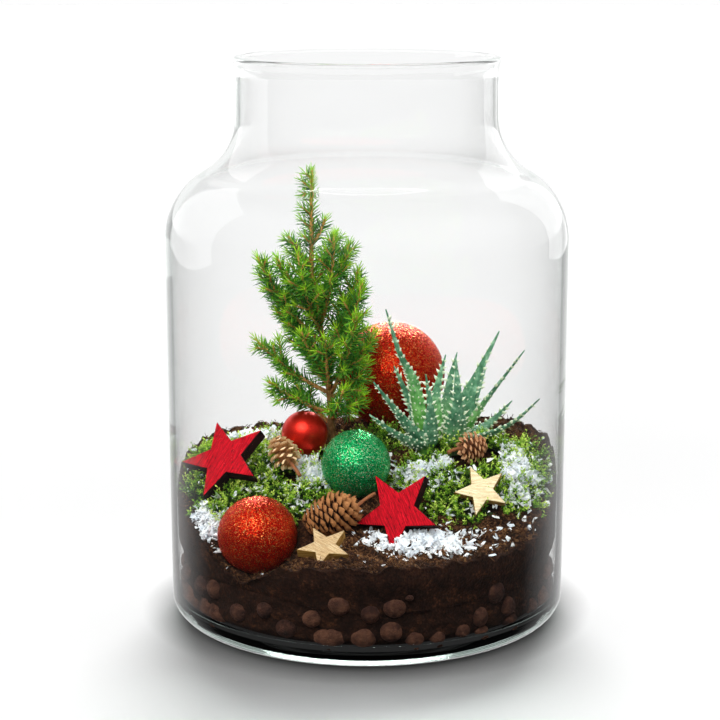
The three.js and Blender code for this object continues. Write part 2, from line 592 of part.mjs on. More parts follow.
// ---- assembly ---------------------------------------------------------------------------------------
const pieces = new Map();
for (const [name, spec] of Object.entries(BAUBLES)) pieces.set(`bauble_${name}`, [bauble(spec), spec.look]);
for (const [name, spec] of Object.entries(STARS)) pieces.set(name, [star(spec), spec.look]);
for (const [name, spec] of Object.entries(CONES)) pieces.set(name, [cone(spec), CONE]);
const trunk = (radius) => solid(bentTube(trunkLine, radius, radius, 7, 6, V(0, 1, 0)));
pieces.set("spruce_trunk", [trunk(trunkRadius), BARK]);
shoots.forEach((shoot, i) => {
  const name = i === 0 ? "spruce_leader" : `spruce_shoot_${String(i).padStart(2, "0")}`;
  pieces.set(name, [shootSolid(shoot), NEEDLES]);
});
pieces.set("aloe_left", [rosette(ALOE_LEFT), ALOE]);
pieces.set("aloe_right", [rosette(ALOE_RIGHT), ALOE]);

const hollows = [
  ...Object.values(BAUBLES).map(baubleHollow),
  ...Object.values(STARS).map((spec) => star(spec, 0.4)),
  ...Object.values(CONES).flatMap(coneHollow),
  trunk((t) => trunkRadius(t) + 0.4),
  rosetteHole(ALOE_LEFT),
  rosetteHole(ALOE_RIGHT),
];

const bareSoil = soilBlock();
const lifted = (made) => made.translate([0, 0, GAP]);
addNode("clay_pebbles", pebbleBed(), CLAY);
addNode("soil", cut(bareSoil, hollows), SOIL);

const mossBeds = [];
for (const [name, spec] of Object.entries(MOSS_BEDS)) {
  const bed = blanket(spec, soilHeight);
  addNode(name, cut(bed, [lifted(bareSoil), ...hollows, ...mossBeds.map(lifted)]), MOSS);
  mossBeds.push(bed);
}
const drifts = [];
for (const [name, spec] of Object.entries(SNOW_DRIFTS)) {
  const drift = blanket(spec, mossHeight);
  const under = [bareSoil, ...mossBeds, ...drifts].map(lifted);
  addNode(name, cut(drift, [...under, ...hollows]), SNOW);
  drifts.push(drift);
}
for (const [name, [made, look]] of pieces) addNode(name, made, look);

export default part;
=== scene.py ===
# %% [markdown]
# # A planted glass jar
#
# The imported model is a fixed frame: every node sits where the real thing stands, in metres, with the
# middle of the jar's base on the origin and its front towards -Y. This lesson dresses that frame.
# Each piece repeats the driving dimensions of its solid, so it stays where the solid is and only
# gains the detail that the solid leaves out: needles, teeth, grain, glitter, crumbs and flakes.

import math

import bmesh
import bpy
import numpy as np
from mathutils import Matrix, Quaternion, Vector, noise


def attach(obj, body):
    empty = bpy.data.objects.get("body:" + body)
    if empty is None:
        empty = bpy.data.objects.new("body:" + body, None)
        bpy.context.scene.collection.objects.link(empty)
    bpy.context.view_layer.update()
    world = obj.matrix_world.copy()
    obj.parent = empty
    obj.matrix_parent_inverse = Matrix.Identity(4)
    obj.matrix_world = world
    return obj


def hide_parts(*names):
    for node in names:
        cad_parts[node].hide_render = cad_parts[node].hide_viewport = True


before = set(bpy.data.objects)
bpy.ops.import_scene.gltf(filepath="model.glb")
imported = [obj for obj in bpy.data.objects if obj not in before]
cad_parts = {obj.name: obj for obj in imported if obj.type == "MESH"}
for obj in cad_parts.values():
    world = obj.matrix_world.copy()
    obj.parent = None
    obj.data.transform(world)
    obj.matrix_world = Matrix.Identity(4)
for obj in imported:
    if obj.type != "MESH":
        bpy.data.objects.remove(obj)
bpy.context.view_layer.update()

# %% [markdown]
# ## Small tools
#
# Colours are written as sRGB hex, but a shader socket wants linear light, so one function turns
# them. Another adds any node: each input is a plain value or the output of another node. Short
# forms for what the finishes share follow it, down to the coat that ends a finish. All lengths in
# this lesson are in millimetres unless a comment says otherwise.

# %% Nodes
MM = 0.001
WHITE = (1, 1, 1, 1)
BLACK = (0, 0, 0, 1)
scene = bpy.context.scene


def linear(hex_colour):
    channels = [int(hex_colour[i:i + 2], 16) / 255 for i in (1, 3, 5)]
    return tuple(c / 12.92 if c <= 0.04045 else ((c + 0.055) / 1.055) ** 2.4 for c in channels) + (1.0,)


def add(tree, kind, inputs=None, out=0, **settings):
    """Adds a node and gives one of its outputs."""
    node = tree.nodes.new(kind)
    for name, value in settings.items():
        setattr(node, name, value)
    for socket, value in (inputs or {}).items():
        if isinstance(value, bpy.types.NodeSocket):
            tree.links.new(value, node.inputs[socket])
        else:
            node.inputs[socket].default_value = value
    return node.outputs[out] if len(node.outputs) else None


def calc(tree, operation, *terms):
    return add(tree, "ShaderNodeMath", dict(enumerate(terms)), operation=operation)


def weighed(tree, total, *parts):
    """A value with weighed parts of others added to it."""
    for value, weight in parts:
        total = calc(tree, "MULTIPLY_ADD", value, weight, total)
    return total


def rescale(tree, value, low, high, to_low=0.0, to_high=1.0):
    limits = {"From Min": low, "From Max": high, "To Min": to_low, "To Max": to_high}
    return add(tree, "ShaderNodeMapRange", {"Value": value, **limits})


def blend(tree, factor, one, other, **settings):
    return add(tree, "ShaderNodeMix", {0: factor, 6: one, 7: other}, 2, data_type="RGBA", **settings)


def ramp(tree, factor, *stops):
    colour = add(tree, "ShaderNodeValToRGB", {"Fac": factor}, "Color")
    points = colour.node.color_ramp.elements
    while len(points) < len(stops):
        points.new(0.5)
    for point, (at, shade) in zip(points, stops):
        point.position = at
        point.color = linear(shade)
    return colour


def own(tree, name="shade"):
    """A value that the mesh carries: by default the shade of each needle, crumb or flake."""
    return add(tree, "ShaderNodeAttribute", out="Fac", attribute_name=name)


def spot_on(tree):
    return add(tree, "ShaderNodeTexCoord", out="Object")


def clouds(tree, size, detail, roughness=0.5, spot=None):
    """Noise with lumps of about the given size."""
    look = {"Scale": 1 / (size * MM), "Detail": detail, "Roughness": roughness}
    return add(tree, "ShaderNodeTexNoise", {"Vector": spot or spot_on(tree), **look}, "Fac")


def cells(tree, size):
    """Voronoi cells: the colour of each, and the distance to its middle."""
    return add(tree, "ShaderNodeTexVoronoi", {"Vector": spot_on(tree), "Scale": 1 / (size * MM)}).node.outputs


def shine(tree, colour, strength=1.0, kind="Background"):
    return add(tree, "ShaderNode" + kind, {"Color": colour, "Strength": strength})


def bounced(tree, way, times=0.5):
    """1 for light that has bounced more often than this in one way, otherwise 0."""
    return calc(tree, "GREATER_THAN", add(tree, "ShaderNodeLightPath", out=way + " Depth"), times)


def either(tree, test, no, yes):
    return add(tree, "ShaderNodeMixShader", {0: test, 1: no, 2: yes})


def finish(tree, shader, output="Material", **more):
    add(tree, "ShaderNodeOutput" + output, {"Surface": shader, **more})


def coat(tree, colour, roughness, specular=0.5, relief=None, **more):
    """Ends a finish. The relief is a height, a strength and a depth."""
    look = {"Base Color": colour, "Roughness": roughness, "Specular IOR Level": specular}
    look.update({name.replace("_", " "): value for name, value in more.items()})
    if relief:
        height, strength, depth = relief
        bump = {"Height": height, "Strength": strength, "Distance": depth * MM}
        look["Normal"] = add(tree, "ShaderNodeBump", bump)
    finish(tree, add(tree, "ShaderNodeBsdfPrincipled", look))


def new_material(name):
    material = bpy.data.materials.new(name)
    material.use_nodes = True
    material.node_tree.nodes.clear()
    return material, material.node_tree

# %% Meshes and pieces
def put(name, data):
    obj = bpy.data.objects.new(name, data)
    scene.collection.objects.link(obj)
    return obj


def mesh_from(name, points, faces, material=None, smooth=True):
    mesh = bpy.data.meshes.new(name)
    mesh.from_pydata([tuple(c * MM for c in p) for p in points], [], faces)
    mesh.polygons.foreach_set("use_smooth", [smooth] * len(mesh.polygons))
    if material:
        mesh.materials.append(material)
    mesh.update()
    return mesh


def attribute(mesh, name, values, kind="FLOAT"):
    """Stores a value on every point, or the same one on all."""
    if np.isscalar(values):
        values = [values] * len(mesh.vertices)
    layer = mesh.attributes.new(name, kind, "POINT")
    field = "vector" if kind == "FLOAT_VECTOR" else "value"
    layer.data.foreach_set(field, np.asarray(values, dtype=np.float32).ravel())


def place(name, mesh, slot, *nodes):
    """Links a finished mesh as a piece that rides on the body and stands for the given nodes."""
    obj = put(name, mesh)
    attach(obj, "root")
    if nodes:
        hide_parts(*nodes)
    mesh.calc_loop_triangles()
    print(f"{name}: {len(mesh.loop_triangles)} triangles")
    return obj


def sleeve(rings, sides, pointed=False):
    """Faces round rings of points, closed at both ends, or drawn to one last point."""
    faces = []
    for k in range(0, (rings - 1) * sides, sides):
        for i in range(sides):
            j = (i + 1) % sides
            faces.append((k + i, k + j, k + sides + j, k + sides + i))
    faces.append(tuple(range(sides))[::-1])
    last = (rings - 1) * sides
    if pointed:
        return faces + [(last + i, last + (i + 1) % sides, last + sides) for i in range(sides)]
    return faces + [tuple(range(last, last + sides))]

# %% [markdown]
# ## Camera and studio
#
# The camera has a longish lens and looks down about twelve degrees from a little above the rim.
# The studio is plain: a wide pale floor, an even white surround, a large box overhead in
# front and two smaller ones at the sides. Seen straight or through the glass, the surround is white.
# What shiny things mirror is a second room: dark in front, so that no veil lies over the dark soil,
# white behind, so that the far wall stays clear, and grey overhead, which gives the balls their
# sheen. The floor mirrors as dark card for the same reason. The boxes don't light the floor or the
# glass, so the back light shapes the soft shadow that falls towards the camera, and near the jar
# occlusion darkens the floor's colour as a painted contact shadow. The floor also glows faintly,
# more with distance from the jar, a painted light that keeps the far floor white.

# %% Camera
LOOK_DOWN = 0.215  # radians
camera = put("camera", bpy.data.cameras.new("camera"))
scene.camera = camera
camera.data.sensor_width = 36
camera.data.lens = 97.28
camera.data.shift_x = -0.0097
camera.data.clip_start = 0.05
camera.location = (0, -0.9592, 0.3375)
camera.rotation_euler = (math.pi / 2 - LOOK_DOWN, 0, 0)
scene.view_settings.view_transform = "Standard"
print("camera at", tuple(round(c, 3) for c in camera.location))

# %% Surround
scene.world = bpy.data.worlds.new("studio")
scene.world.use_nodes = True
sky = scene.world.node_tree
sky.nodes.clear()
direction = add(sky, "ShaderNodeTexCoord", out="Generated")
towards = add(sky, "ShaderNodeSeparateXYZ", {0: direction}).node.outputs
dome = ramp(sky, towards["Z"], (0.0, "#b8b8b8"), (0.3, "#e0e0e0"), (0.65, "#ffffff"), (1.0, "#ffffff"))
behind = rescale(sky, towards["Y"], -1.0, 1.0)
room = ramp(sky, behind, (0.0, "#121212"), (0.6, "#404040"), (0.82, "#f4f4f4"), (1.0, "#ffffff"))
overhead = ramp(sky, towards["Z"], (0.08, "#000000"), (0.4, "#a4a4a4"), (0.7, "#a4a4a4"), (0.88, "#242424"))
room = blend(sky, 1.0, room, overhead, blend_type="LIGHTEN")
lighting = either(sky, bounced(sky, "Diffuse"), shine(sky, WHITE), shine(sky, dome, 0.3))
finish(sky, either(sky, bounced(sky, "Glossy"), lighting, shine(sky, room)), "World")

# %% Soft boxes, and a far, soft light from behind
SOFT_BOXES = {  # place, width and height in metres, power in watts
    "left_box": ((-1.2, -0.35, 0.8), (0.8, 1.2), 9.0),
    "right_box": ((1.2, -0.2, 0.95), (0.8, 1.0), 6.0),
    "top_box": ((-0.35, -0.95, 1.25), (1.1, 0.9), 18.5),
}
JAR_MIDDLE = Vector((0, 0, 0.13))
BACK_LIGHT_WAY = Vector((-0.04, -1.0, -0.62))
kept_dark = bpy.data.collections.new("kept_dark")  # the floor and the glass, which the boxes leave out
for name, (stand, size, power) in SOFT_BOXES.items():
    box = put(name, bpy.data.lights.new(name, "AREA"))
    box.data.shape = "RECTANGLE"
    box.data.size, box.data.size_y = size
    box.data.energy = power
    box.data.cycles.use_multiple_importance_sampling = False
    box.location = stand
    box.visible_glossy = name == "top_box"
    box.rotation_euler = (JAR_MIDDLE - Vector(stand)).to_track_quat("-Z", "Y").to_euler()
    box.light_linking.receiver_collection = kept_dark
    print(name, power, "W")

sun = put("back_light", bpy.data.lights.new("back_light", "SUN"))
sun.data.energy = 4.4
sun.data.angle = 0.6
sun.rotation_euler = BACK_LIGHT_WAY.to_track_quat("-Z", "Y").to_euler()
sun.visible_glossy = False

# %% Floor
FLOOR_RADIUS = 9000
white_sweep, tree = new_material("matt_white_sweep")
grain = add(tree, "ShaderNodeTexNoise", {"Scale": 40.0, "Detail": 3.0}, "Fac")
pale = ramp(tree, grain, (0.3, "#f7f7f7"), (0.7, "#fbfbfb"))
away = add(tree, "ShaderNodeVectorMath", {0: spot_on(tree)}, "Value", operation="LENGTH")
# Occlusion darkens the floor's colour near the jar: a painted contact shadow.
painted_contact_shadow = add(tree, "ShaderNodeAmbientOcclusion", {"Distance": 0.018}, "AO", samples=8)
# The floor glows faintly, from 0.02 at 0.15 m to 0.1 at 1.2 m: painted light that keeps the far floor white.
paper = add(tree, "ShaderNodeBsdfPrincipled", {
    "Base Color": blend(tree, painted_contact_shadow, BLACK, pale), "Roughness": 0.9, "Emission Color": WHITE,
    "Emission Strength": rescale(tree, away, 0.15, 1.2, 0.02, 0.1)})
dark_card = shine(tree, linear("#2a2a2a"), kind="Emission")
finish(tree, either(tree, bounced(tree, "Glossy"), paper, dark_card))
turns = np.linspace(0, 2 * math.pi, 65)[:-1]
edge = [(FLOOR_RADIUS * math.cos(a), FLOOR_RADIUS * math.sin(a), 0) for a in turns]
floor = put("floor", mesh_from("floor", edge, [list(range(64))], white_sweep))
floor.visible_glossy = False
kept_dark.objects.link(floor)

# %% Cards that only the glass and the glitter mirror
CARDS = {  # middle, width and height in metres
    "left_card": ((-0.95, 0.5, 0.62), (1.0, 1.2)),
    "right_card": ((0.75, 0.8, 0.62), (0.7, 1.2)),
}
bright_card, tree = new_material("bright_card")
finish(tree, shine(tree, WHITE, 2.0, "Emission"))
for name, (middle, (width, height)) in CARDS.items():
    middle = Vector(middle) / MM
    across = Vector((-middle.y, middle.x, 0)).normalized() * width / 2 / MM
    up = Vector((0, 0, height / 2 / MM))
    corners = [middle - across - up, middle + across - up, middle + across + up, middle - across + up]
    card = put(name, mesh_from(name, corners, [(0, 1, 2, 3)], bright_card))
    card.visible_camera = card.visible_diffuse = card.visible_transmission = card.visible_shadow = False

# %% [markdown]
# ## Growing repeats with Geometry Nodes
#
# Three trees make everything that repeats. The first scatters a small shape over a surface, as moss,
# crumbs, snow and glitter lie. The second sets needles along twigs. The third sets a shape on listed
# points that carry their own turn and size, for scales, teeth and pebbles. Each tree ends in real
# geometry with its material, and the result is kept as a plain mesh.

# %% Tools for the trees
def node_tree(name, **sockets):
    """A tree with its named inputs."""
    tree = bpy.data.node_groups.new(name, "GeometryNodeTree")
    for label, kind in sockets.items():
        tree.interface.new_socket(name=label, in_out="INPUT", socket_type="NodeSocket" + kind)
    tree.interface.new_socket(name="Grown", in_out="OUTPUT", socket_type="NodeSocketGeometry")
    return tree, add(tree, "NodeGroupInput").node.outputs


def stored(tree, name, kind="FLOAT"):
    return add(tree, "GeometryNodeInputNamedAttribute", {"Name": name}, "Attribute", data_type=kind)


def between(tree, low, high, seed):
    """A random number for each copy."""
    return add(tree, "FunctionNodeRandomValue", {2: low, 3: high, "Seed": seed}, 1, data_type="FLOAT")


def turn_by(tree, rotation, angles):
    """A rotation turned further about its own axes."""
    more = add(tree, "FunctionNodeEulerToRotation", {0: angles})
    return add(tree, "FunctionNodeRotateRotation", {0: rotation, 1: more}, rotation_space="LOCAL")


def end_tree(tree, given, points, rotation, size, shade_seed=None):
    """Sets the shape on the points, each copy with a shade of its own, and makes it real."""
    shape = add(tree, "GeometryNodeObjectInfo", {"Object": given["Shape"]}, "Geometry")
    grown = add(tree, "GeometryNodeInstanceOnPoints", {
        "Points": points, "Instance": shape, "Rotation": rotation, "Scale": size})
    if shade_seed:
        shade = {"Geometry": grown, "Name": "shade", "Value": between(tree, 0.0, 1.0, shade_seed)}
        grown = add(tree, "GeometryNodeStoreNamedAttribute", shade, data_type="FLOAT", domain="INSTANCE")
    grown = add(tree, "GeometryNodeRealizeInstances", {"Geometry": grown})
    grown = add(tree, "GeometryNodeSetMaterial", {"Geometry": grown, "Material": given["Finish"]})
    add(tree, "NodeGroupOutput", {0: grown})
    print(tree.name, "has", len(tree.nodes), "nodes")


def grow(tree, base, **inputs):
    """Runs a tree on a mesh, and keeps the result as a plain mesh."""
    seat = put("seat", base)
    modifier = seat.modifiers.new("grow", "NODES")
    modifier.node_group = tree
    for item in tree.interface.items_tree:
        if item.in_out == "INPUT" and item.name.lower() in inputs:
            modifier[item.identifier] = inputs[item.name.lower()]
    bpy.context.view_layer.update()
    mesh = bpy.data.meshes.new_from_object(seat.evaluated_get(bpy.context.evaluated_depsgraph_get()))
    bpy.data.objects.remove(seat)
    return mesh


def template(name, points, faces, smooth=False):
    """A small shape for a tree to repeat. It isn't linked to the scene."""
    return bpy.data.objects.new(name, mesh_from(name, points, faces, smooth=smooth))


def thorn(name, sections, sides, tip, flat=1.0, smooth=False):
    """A pointed template: rings of height, radius and bow, then a tip, and how far up each point is."""
    turns = [2 * math.pi * i / sides for i in range(sides)]
    points = [(bow + r * math.cos(a), flat * r * math.sin(a), z) for z, r, bow in sections for a in turns]
    shape = template(name, points + [tip], sleeve(len(sections), sides, pointed=True), smooth)
    attribute(shape.data, "tipward", [max(0.0, z / tip[2]) for _, _, z in points + [tip]])
    return shape


def joined(name, *meshes):
    """Several meshes as one, with their materials kept."""
    parts = [put("part", mesh) for mesh in meshes]
    with bpy.context.temp_override(active_object=parts[0], selected_editable_objects=parts):
        bpy.ops.object.join()
    mesh = parts[0].data
    bpy.data.objects.remove(parts[0])
    mesh.name = name
    return mesh


def thin_out(mesh, per_shape, spoiled):
    """Takes away the whole shapes of which some point is spoiled."""
    places = np.empty(len(mesh.vertices) * 3, dtype=np.float32)
    mesh.vertices.foreach_get("co", places)
    bad = spoiled(*places.reshape(-1, 3).T / MM).reshape(-1, per_shape).any(axis=1)
    work = bmesh.new()
    work.from_mesh(mesh)
    work.verts.ensure_lookup_table()
    gone = [work.verts[i] for k in np.flatnonzero(bad) for i in range(k * per_shape, (k + 1) * per_shape)]
    bmesh.ops.delete(work, geom=gone, context="VERTS")
    work.to_mesh(mesh)
    work.free()
    print("taken away:", int(bad.sum()), "of", len(bad))
    return mesh


def through_glass(x, y, z):
    return np.hypot(x, y) > FILL_RADIUS + 0.1


def strew(ground, shape, material, apart, density, smallest, largest, lean, seed):
    """Scatters a shape, and takes away the copies that would stick through the glass."""
    mesh = grow(scatter, ground, shape=shape, apart=apart * MM, density=density, smallest=smallest,
                largest=largest, lean=lean, seed=seed, finish=material)
    return thin_out(mesh, len(shape.data.vertices), through_glass)


# %% The scatter tree
scatter, given = node_tree(
    "scatter_over_surface", Surface="Geometry", Shape="Object", Apart="Float", Density="Float",
    Smallest="Float", Largest="Float", Lean="Float", Seed="Int", Finish="Material")
spots = add(scatter, "GeometryNodeDistributePointsOnFaces", {
    "Mesh": given["Surface"], "Distance Min": given["Apart"], "Density Max": given["Density"],
    "Density Factor": stored(scatter, "cover"), "Seed": given["Seed"]},
            distribute_method="POISSON").node.outputs
back = calc(scatter, "MULTIPLY", given["Lean"], -1.0)
least = add(scatter, "ShaderNodeCombineXYZ", {0: back, 1: back})
most = add(scatter, "ShaderNodeCombineXYZ", {0: given["Lean"], 1: given["Lean"], 2: 2 * math.pi})
turn = add(scatter, "FunctionNodeRandomValue", {0: least, 1: most, "Seed": given["Seed"]},
           data_type="FLOAT_VECTOR")
end_tree(scatter, given, spots["Points"], turn_by(scatter, spots["Rotation"], turn),
         between(scatter, given["Smallest"], given["Largest"], given["Seed"]), shade_seed=5)

# %% The tree for needles along a twig
GOLDEN_ANGLE = math.pi * (3 - math.sqrt(5))
along_twig, given = node_tree(
    "needles_along_twig", Twigs="Geometry", Shape="Object", Spacing="Float", Seed="Int", Finish="Material")
lines = add(along_twig, "GeometryNodeMeshToCurve", {"Mesh": given["Twigs"]})
seats = add(along_twig, "GeometryNodeCurveToPoints", {"Curve": lines, "Length": given["Spacing"]},
            mode="LENGTH").node.outputs
growth = stored(along_twig, "growth")
spin = calc(along_twig, "MULTIPLY", add(along_twig, "GeometryNodeInputIndex"), GOLDEN_ANGLE)
# A needle leans out by about a radian on the old wood and folds up round the bud at the tip.
lean = calc(along_twig, "ADD", rescale(along_twig, growth, 0.75, 1.0, 0.95, 0.42),
            between(along_twig, -0.22, 0.22, given["Seed"]))
facing = turn_by(along_twig, seats["Rotation"], add(along_twig, "ShaderNodeCombineXYZ", {2: spin}))
facing = turn_by(along_twig, facing, add(along_twig, "ShaderNodeCombineXYZ", {0: lean}))
reach = calc(along_twig, "MULTIPLY", rescale(along_twig, growth, 0.8, 1.0, 1.0, 0.75),
             between(along_twig, 0.78, 1.08, 3))
end_tree(along_twig, given, seats["Points"], facing, reach, shade_seed=8)

# %% The tree for shapes on listed points
on_points, given = node_tree("shape_on_points", Points="Geometry", Shape="Object", Finish="Material")
end_tree(on_points, given, given["Points"], stored(on_points, "facing", "QUATERNION"),
         stored(on_points, "size", "FLOAT_VECTOR"))
luck = np.random.default_rng(4)  # for the pebbles, then the cones, then the aloes


def set_out(shape, material, seats, least_shade=0.0):
    """Sets a shape on seats, each a place, a turn and a size, with a random shade."""
    places, turns, sizes = zip(*seats)
    mesh = mesh_from("points", places, [])
    attribute(mesh, "facing", [tuple(q) for q in turns], "QUATERNION")
    attribute(mesh, "size", sizes, "FLOAT_VECTOR")
    attribute(mesh, "shade", luck.uniform(least_shade, 1, len(seats)))
    return grow(on_points, mesh, shape=shape, finish=material)


def upright(ahead, towards):
    """A turn that lays Z along one direction and leans X towards another."""
    side = (towards - ahead * towards.dot(ahead)).normalized()
    return Matrix((side, ahead.cross(side), ahead)).transposed().to_quaternion()

# %% [markdown]
# ## The jar
#
# The real jar is blown into a mould: a thick base, straight sides, a round shoulder, a straight neck
# and a small bead at the rim. One turned profile makes it, with the inner wall drawn as well as the
# outer, because glass only bends light rightly when it has both. The base and the heel are thick,
# so they gather the pale green lines that real glass shows at its foot.

# %% Jar dimensions
BODY_RADIUS = 100
JAR_HEIGHT = 280
WALL = 3
BASE_THICKNESS = 7
HEEL_RADIUS = 10
INNER_HEEL = 9
NECK_RADIUS = 64.5
NECK_WALL = 2.6
SHOULDER_RADIUS = 37.7
THROAT_RADIUS = 32
THROAT_TOP = 251.5
PUNT_RADIUS = 66
PUNT_RISE = 1.2
FILL_RADIUS = BODY_RADIUS - WALL - 0.3

sweep = math.acos(1 - (BODY_RADIUS - NECK_RADIUS) / (SHOULDER_RADIUS + THROAT_RADIUS))
shoulder_start = THROAT_TOP - (SHOULDER_RADIUS + THROAT_RADIUS) * math.sin(sweep)
shoulder_centre = BODY_RADIUS - SHOULDER_RADIUS
throat_centre = NECK_RADIUS + THROAT_RADIUS
print("shoulder starts at", round(shoulder_start, 1), "mm")


# %% Turning a profile
def arc(centre_r, centre_z, radius, start, end, steps):
    angles = np.linspace(start, end, steps + 1)
    return [(centre_r + radius * math.cos(a), centre_z + radius * math.sin(a)) for a in angles]


def turned(profile, segments):
    """Points and faces of a profile of (radius, height) pairs turned about Z, closed at its poles."""
    points, faces, rings = [], [], []
    for radius, z in profile:
        count = 1 if radius < 1e-6 else segments
        rings.append(range(len(points), len(points) + count))
        turns = [2 * math.pi * i / segments for i in range(count)]
        points += [(radius * math.cos(a), radius * math.sin(a), z) for a in turns]
    for low, high in zip(rings, rings[1:]):
        for i in range(segments):
            j = (i + 1) % segments
            corners = [low[i % len(low)], low[j % len(low)], high[j % len(high)], high[i % len(high)]]
            faces.append(list(dict.fromkeys(corners)))
    return points, faces


# %% The jar's profile, up the outside and down the inside
HALF = math.pi / 2
outside = [(r, PUNT_RISE) for r in (0, PUNT_RADIUS / 2, PUNT_RADIUS - 2)]
outside += [(PUNT_RADIUS, 1.0), (PUNT_RADIUS + 1.5, 0.2), (PUNT_RADIUS + 3, 0)]
outside += arc(BODY_RADIUS - HEEL_RADIUS, HEEL_RADIUS, HEEL_RADIUS, -HALF, 0, 12)
outside += [(BODY_RADIUS, z) for z in (40, 80, 120, 160)]
outside += arc(shoulder_centre, shoulder_start, SHOULDER_RADIUS, 0, sweep, 20)
outside += arc(throat_centre, THROAT_TOP, THROAT_RADIUS, math.pi + sweep, math.pi, 16)[1:]
outside += [(NECK_RADIUS + wider, JAR_HEIGHT - down) for wider, down in ((0, 12), (0, 5), (0.3, 4.4))]
rim_bead = arc(NECK_RADIUS - 0.8, JAR_HEIGHT - 1.8, 1.8, -0.6, HALF, 7)
inside = arc(NECK_RADIUS - NECK_WALL + 1.2, JAR_HEIGHT - 1.2, 1.2, HALF, math.pi, 5)
inside += arc(throat_centre, THROAT_TOP, THROAT_RADIUS + NECK_WALL, math.pi, math.pi + sweep, 16)
inside += arc(shoulder_centre, shoulder_start, SHOULDER_RADIUS - WALL, sweep, 0, 20)[1:]
inside += [(BODY_RADIUS - WALL, z) for z in (160, 120, 80, 40)]
inside += arc(BODY_RADIUS - WALL - INNER_HEEL, BASE_THICKNESS + INNER_HEEL, INNER_HEEL, 0, -HALF, 10)
inside += [(60, BASE_THICKNESS), (30, BASE_THICKNESS), (0, BASE_THICKNESS)]
jar_points, jar_faces = turned(outside + rim_bead + inside, 144)
print("jar profile:", len(outside + rim_bead + inside), "points")

# %% [markdown]
# The finish is soda-lime glass: a mirror-smooth surface, and a trace of green that only shows where
# light runs a long way through it, at the edges and in the base. The trace is a true absorption
# inside the wall. Real glass has an index of 1.52, but 1.38 is used, because the walls mirrored more
# of the room at 1.52 than the real ones do. Light reaches the planting as if the glass weren't in
# its way, a usual shortcut, because light bent by thin glass is slow to trace and hardly changes the
# picture. Light that has bounced inside the upper wall more than once also leaves it straight, or
# black arcs would gather in the far shoulder.

# %% Soda-lime glass
GLASS_INDEX = 1.38
FOOT_TOP = 20
soda_lime_glass, tree = new_material("soda_lime_glass")
pane = add(tree, "ShaderNodeBsdfPrincipled", {
    "Base Color": WHITE, "Roughness": 0.0, "IOR": GLASS_INDEX, "Transmission Weight": 1.0})
clear = add(tree, "ShaderNodeBsdfTransparent", {"Color": linear("#fafcfb")})
height = add(tree, "ShaderNodeSeparateXYZ", {0: spot_on(tree)}, "Z")
upper = calc(tree, "GREATER_THAN", height, FOOT_TOP * MM)
trapped = calc(tree, "MULTIPLY", bounced(tree, "Glossy", 1.5), upper)
passing = calc(tree, "MAXIMUM", add(tree, "ShaderNodeLightPath", out="Is Shadow Ray"), trapped)
trace = add(tree, "ShaderNodeVolumeAbsorption", {"Color": linear("#a9c4bb"), "Density": 7.0})
finish(tree, either(tree, passing, pane, clear), Volume=trace)
jar = place("jar", mesh_from("jar", jar_points, jar_faces, soda_lime_glass), "jar_glass", "glass_jar")
kept_dark.objects.link(jar)
for member in kept_dark.collection_objects:
    member.light_linking.link_state = "EXCLUDE"

# %% [markdown]
# ## The ground
#
# The soil is banked up: low at the front glass, rising to a crest behind the middle, and a little
# lower again at the back. The same height rule shapes the soil, the moss and the snow, so they lie on
# one another. Balls, stars, cones and stems press it down or stand in it, so one test tells
# how far a spot is from them, and nothing is scattered inside them.

# %% The height of the soil and the moss
def clamp01(t):
    return min(1.0, max(0.0, t))


def smooth(t):
    return clamp01(t) ** 2 * (3 - 2 * clamp01(t))


def hill(x, y, cx, cy, spread):
    return math.exp(-((x - cx) ** 2 + (y - cy) ** 2) / (2 * spread ** 2))


def soil_height(x, y):
    side = x / BODY_RADIUS
    slope = smooth((y + 76 - 12 * side) / (102 - 20 * side))
    level = 49 + (31 + 4 * side) * slope - 6 * smooth((y - 50) / 50)
    level += 4 * hill(x, y, 13, 50, 20) - 14 * hill(x, y, -55, -67, 15)
    level += 1.1 * math.sin(0.31 * x + 1.3) * math.sin(0.27 * y)
    return level + 0.7 * math.sin(0.53 * x + 0.44 * y)


def bed_top(x, y):
    bearing = math.atan2(y, x)
    wander = 2.5 * math.sin(2 * bearing + 0.6) + 1.8 * math.sin(5 * bearing)
    return 29 + wander * math.hypot(x, y) / FILL_RADIUS


MOSS_BEDS = {  # centre, reach, thickness and turn of each cushion
    "moss_left": ((-52, -8), (44, 44), 8, 1.0),
    "moss_right": ((53, -13), (42, 31), 8, 2.2),
    "moss_middle": ((6, 20), (17, 11), 5, 0.4),
}


def oval(x, y, centre, reach):
    """How far out a spot lies: 0 at the centre, 1 on the oval."""
    return math.hypot((x - centre[0]) / reach[0], (y - centre[1]) / reach[1])


def moss_height(x, y):
    swell = 0.0
    for centre, reach, thickness, _ in MOSS_BEDS.values():
        swell = max(swell, thickness * (1 - oval(x, y, centre, reach) ** 3))
    return soil_height(x, y) + swell


def crumble(x, y, size, seed=0.0):
    """Cloudy unevenness from about -1 to 1, with lumps of the given size."""
    return noise.fractal(Vector((x / size, y / size, seed)), 0.8, 2.1, 4)


print("soil at the front and at the crest:", round(soil_height(0, -95), 1), round(soil_height(0, 30), 1))

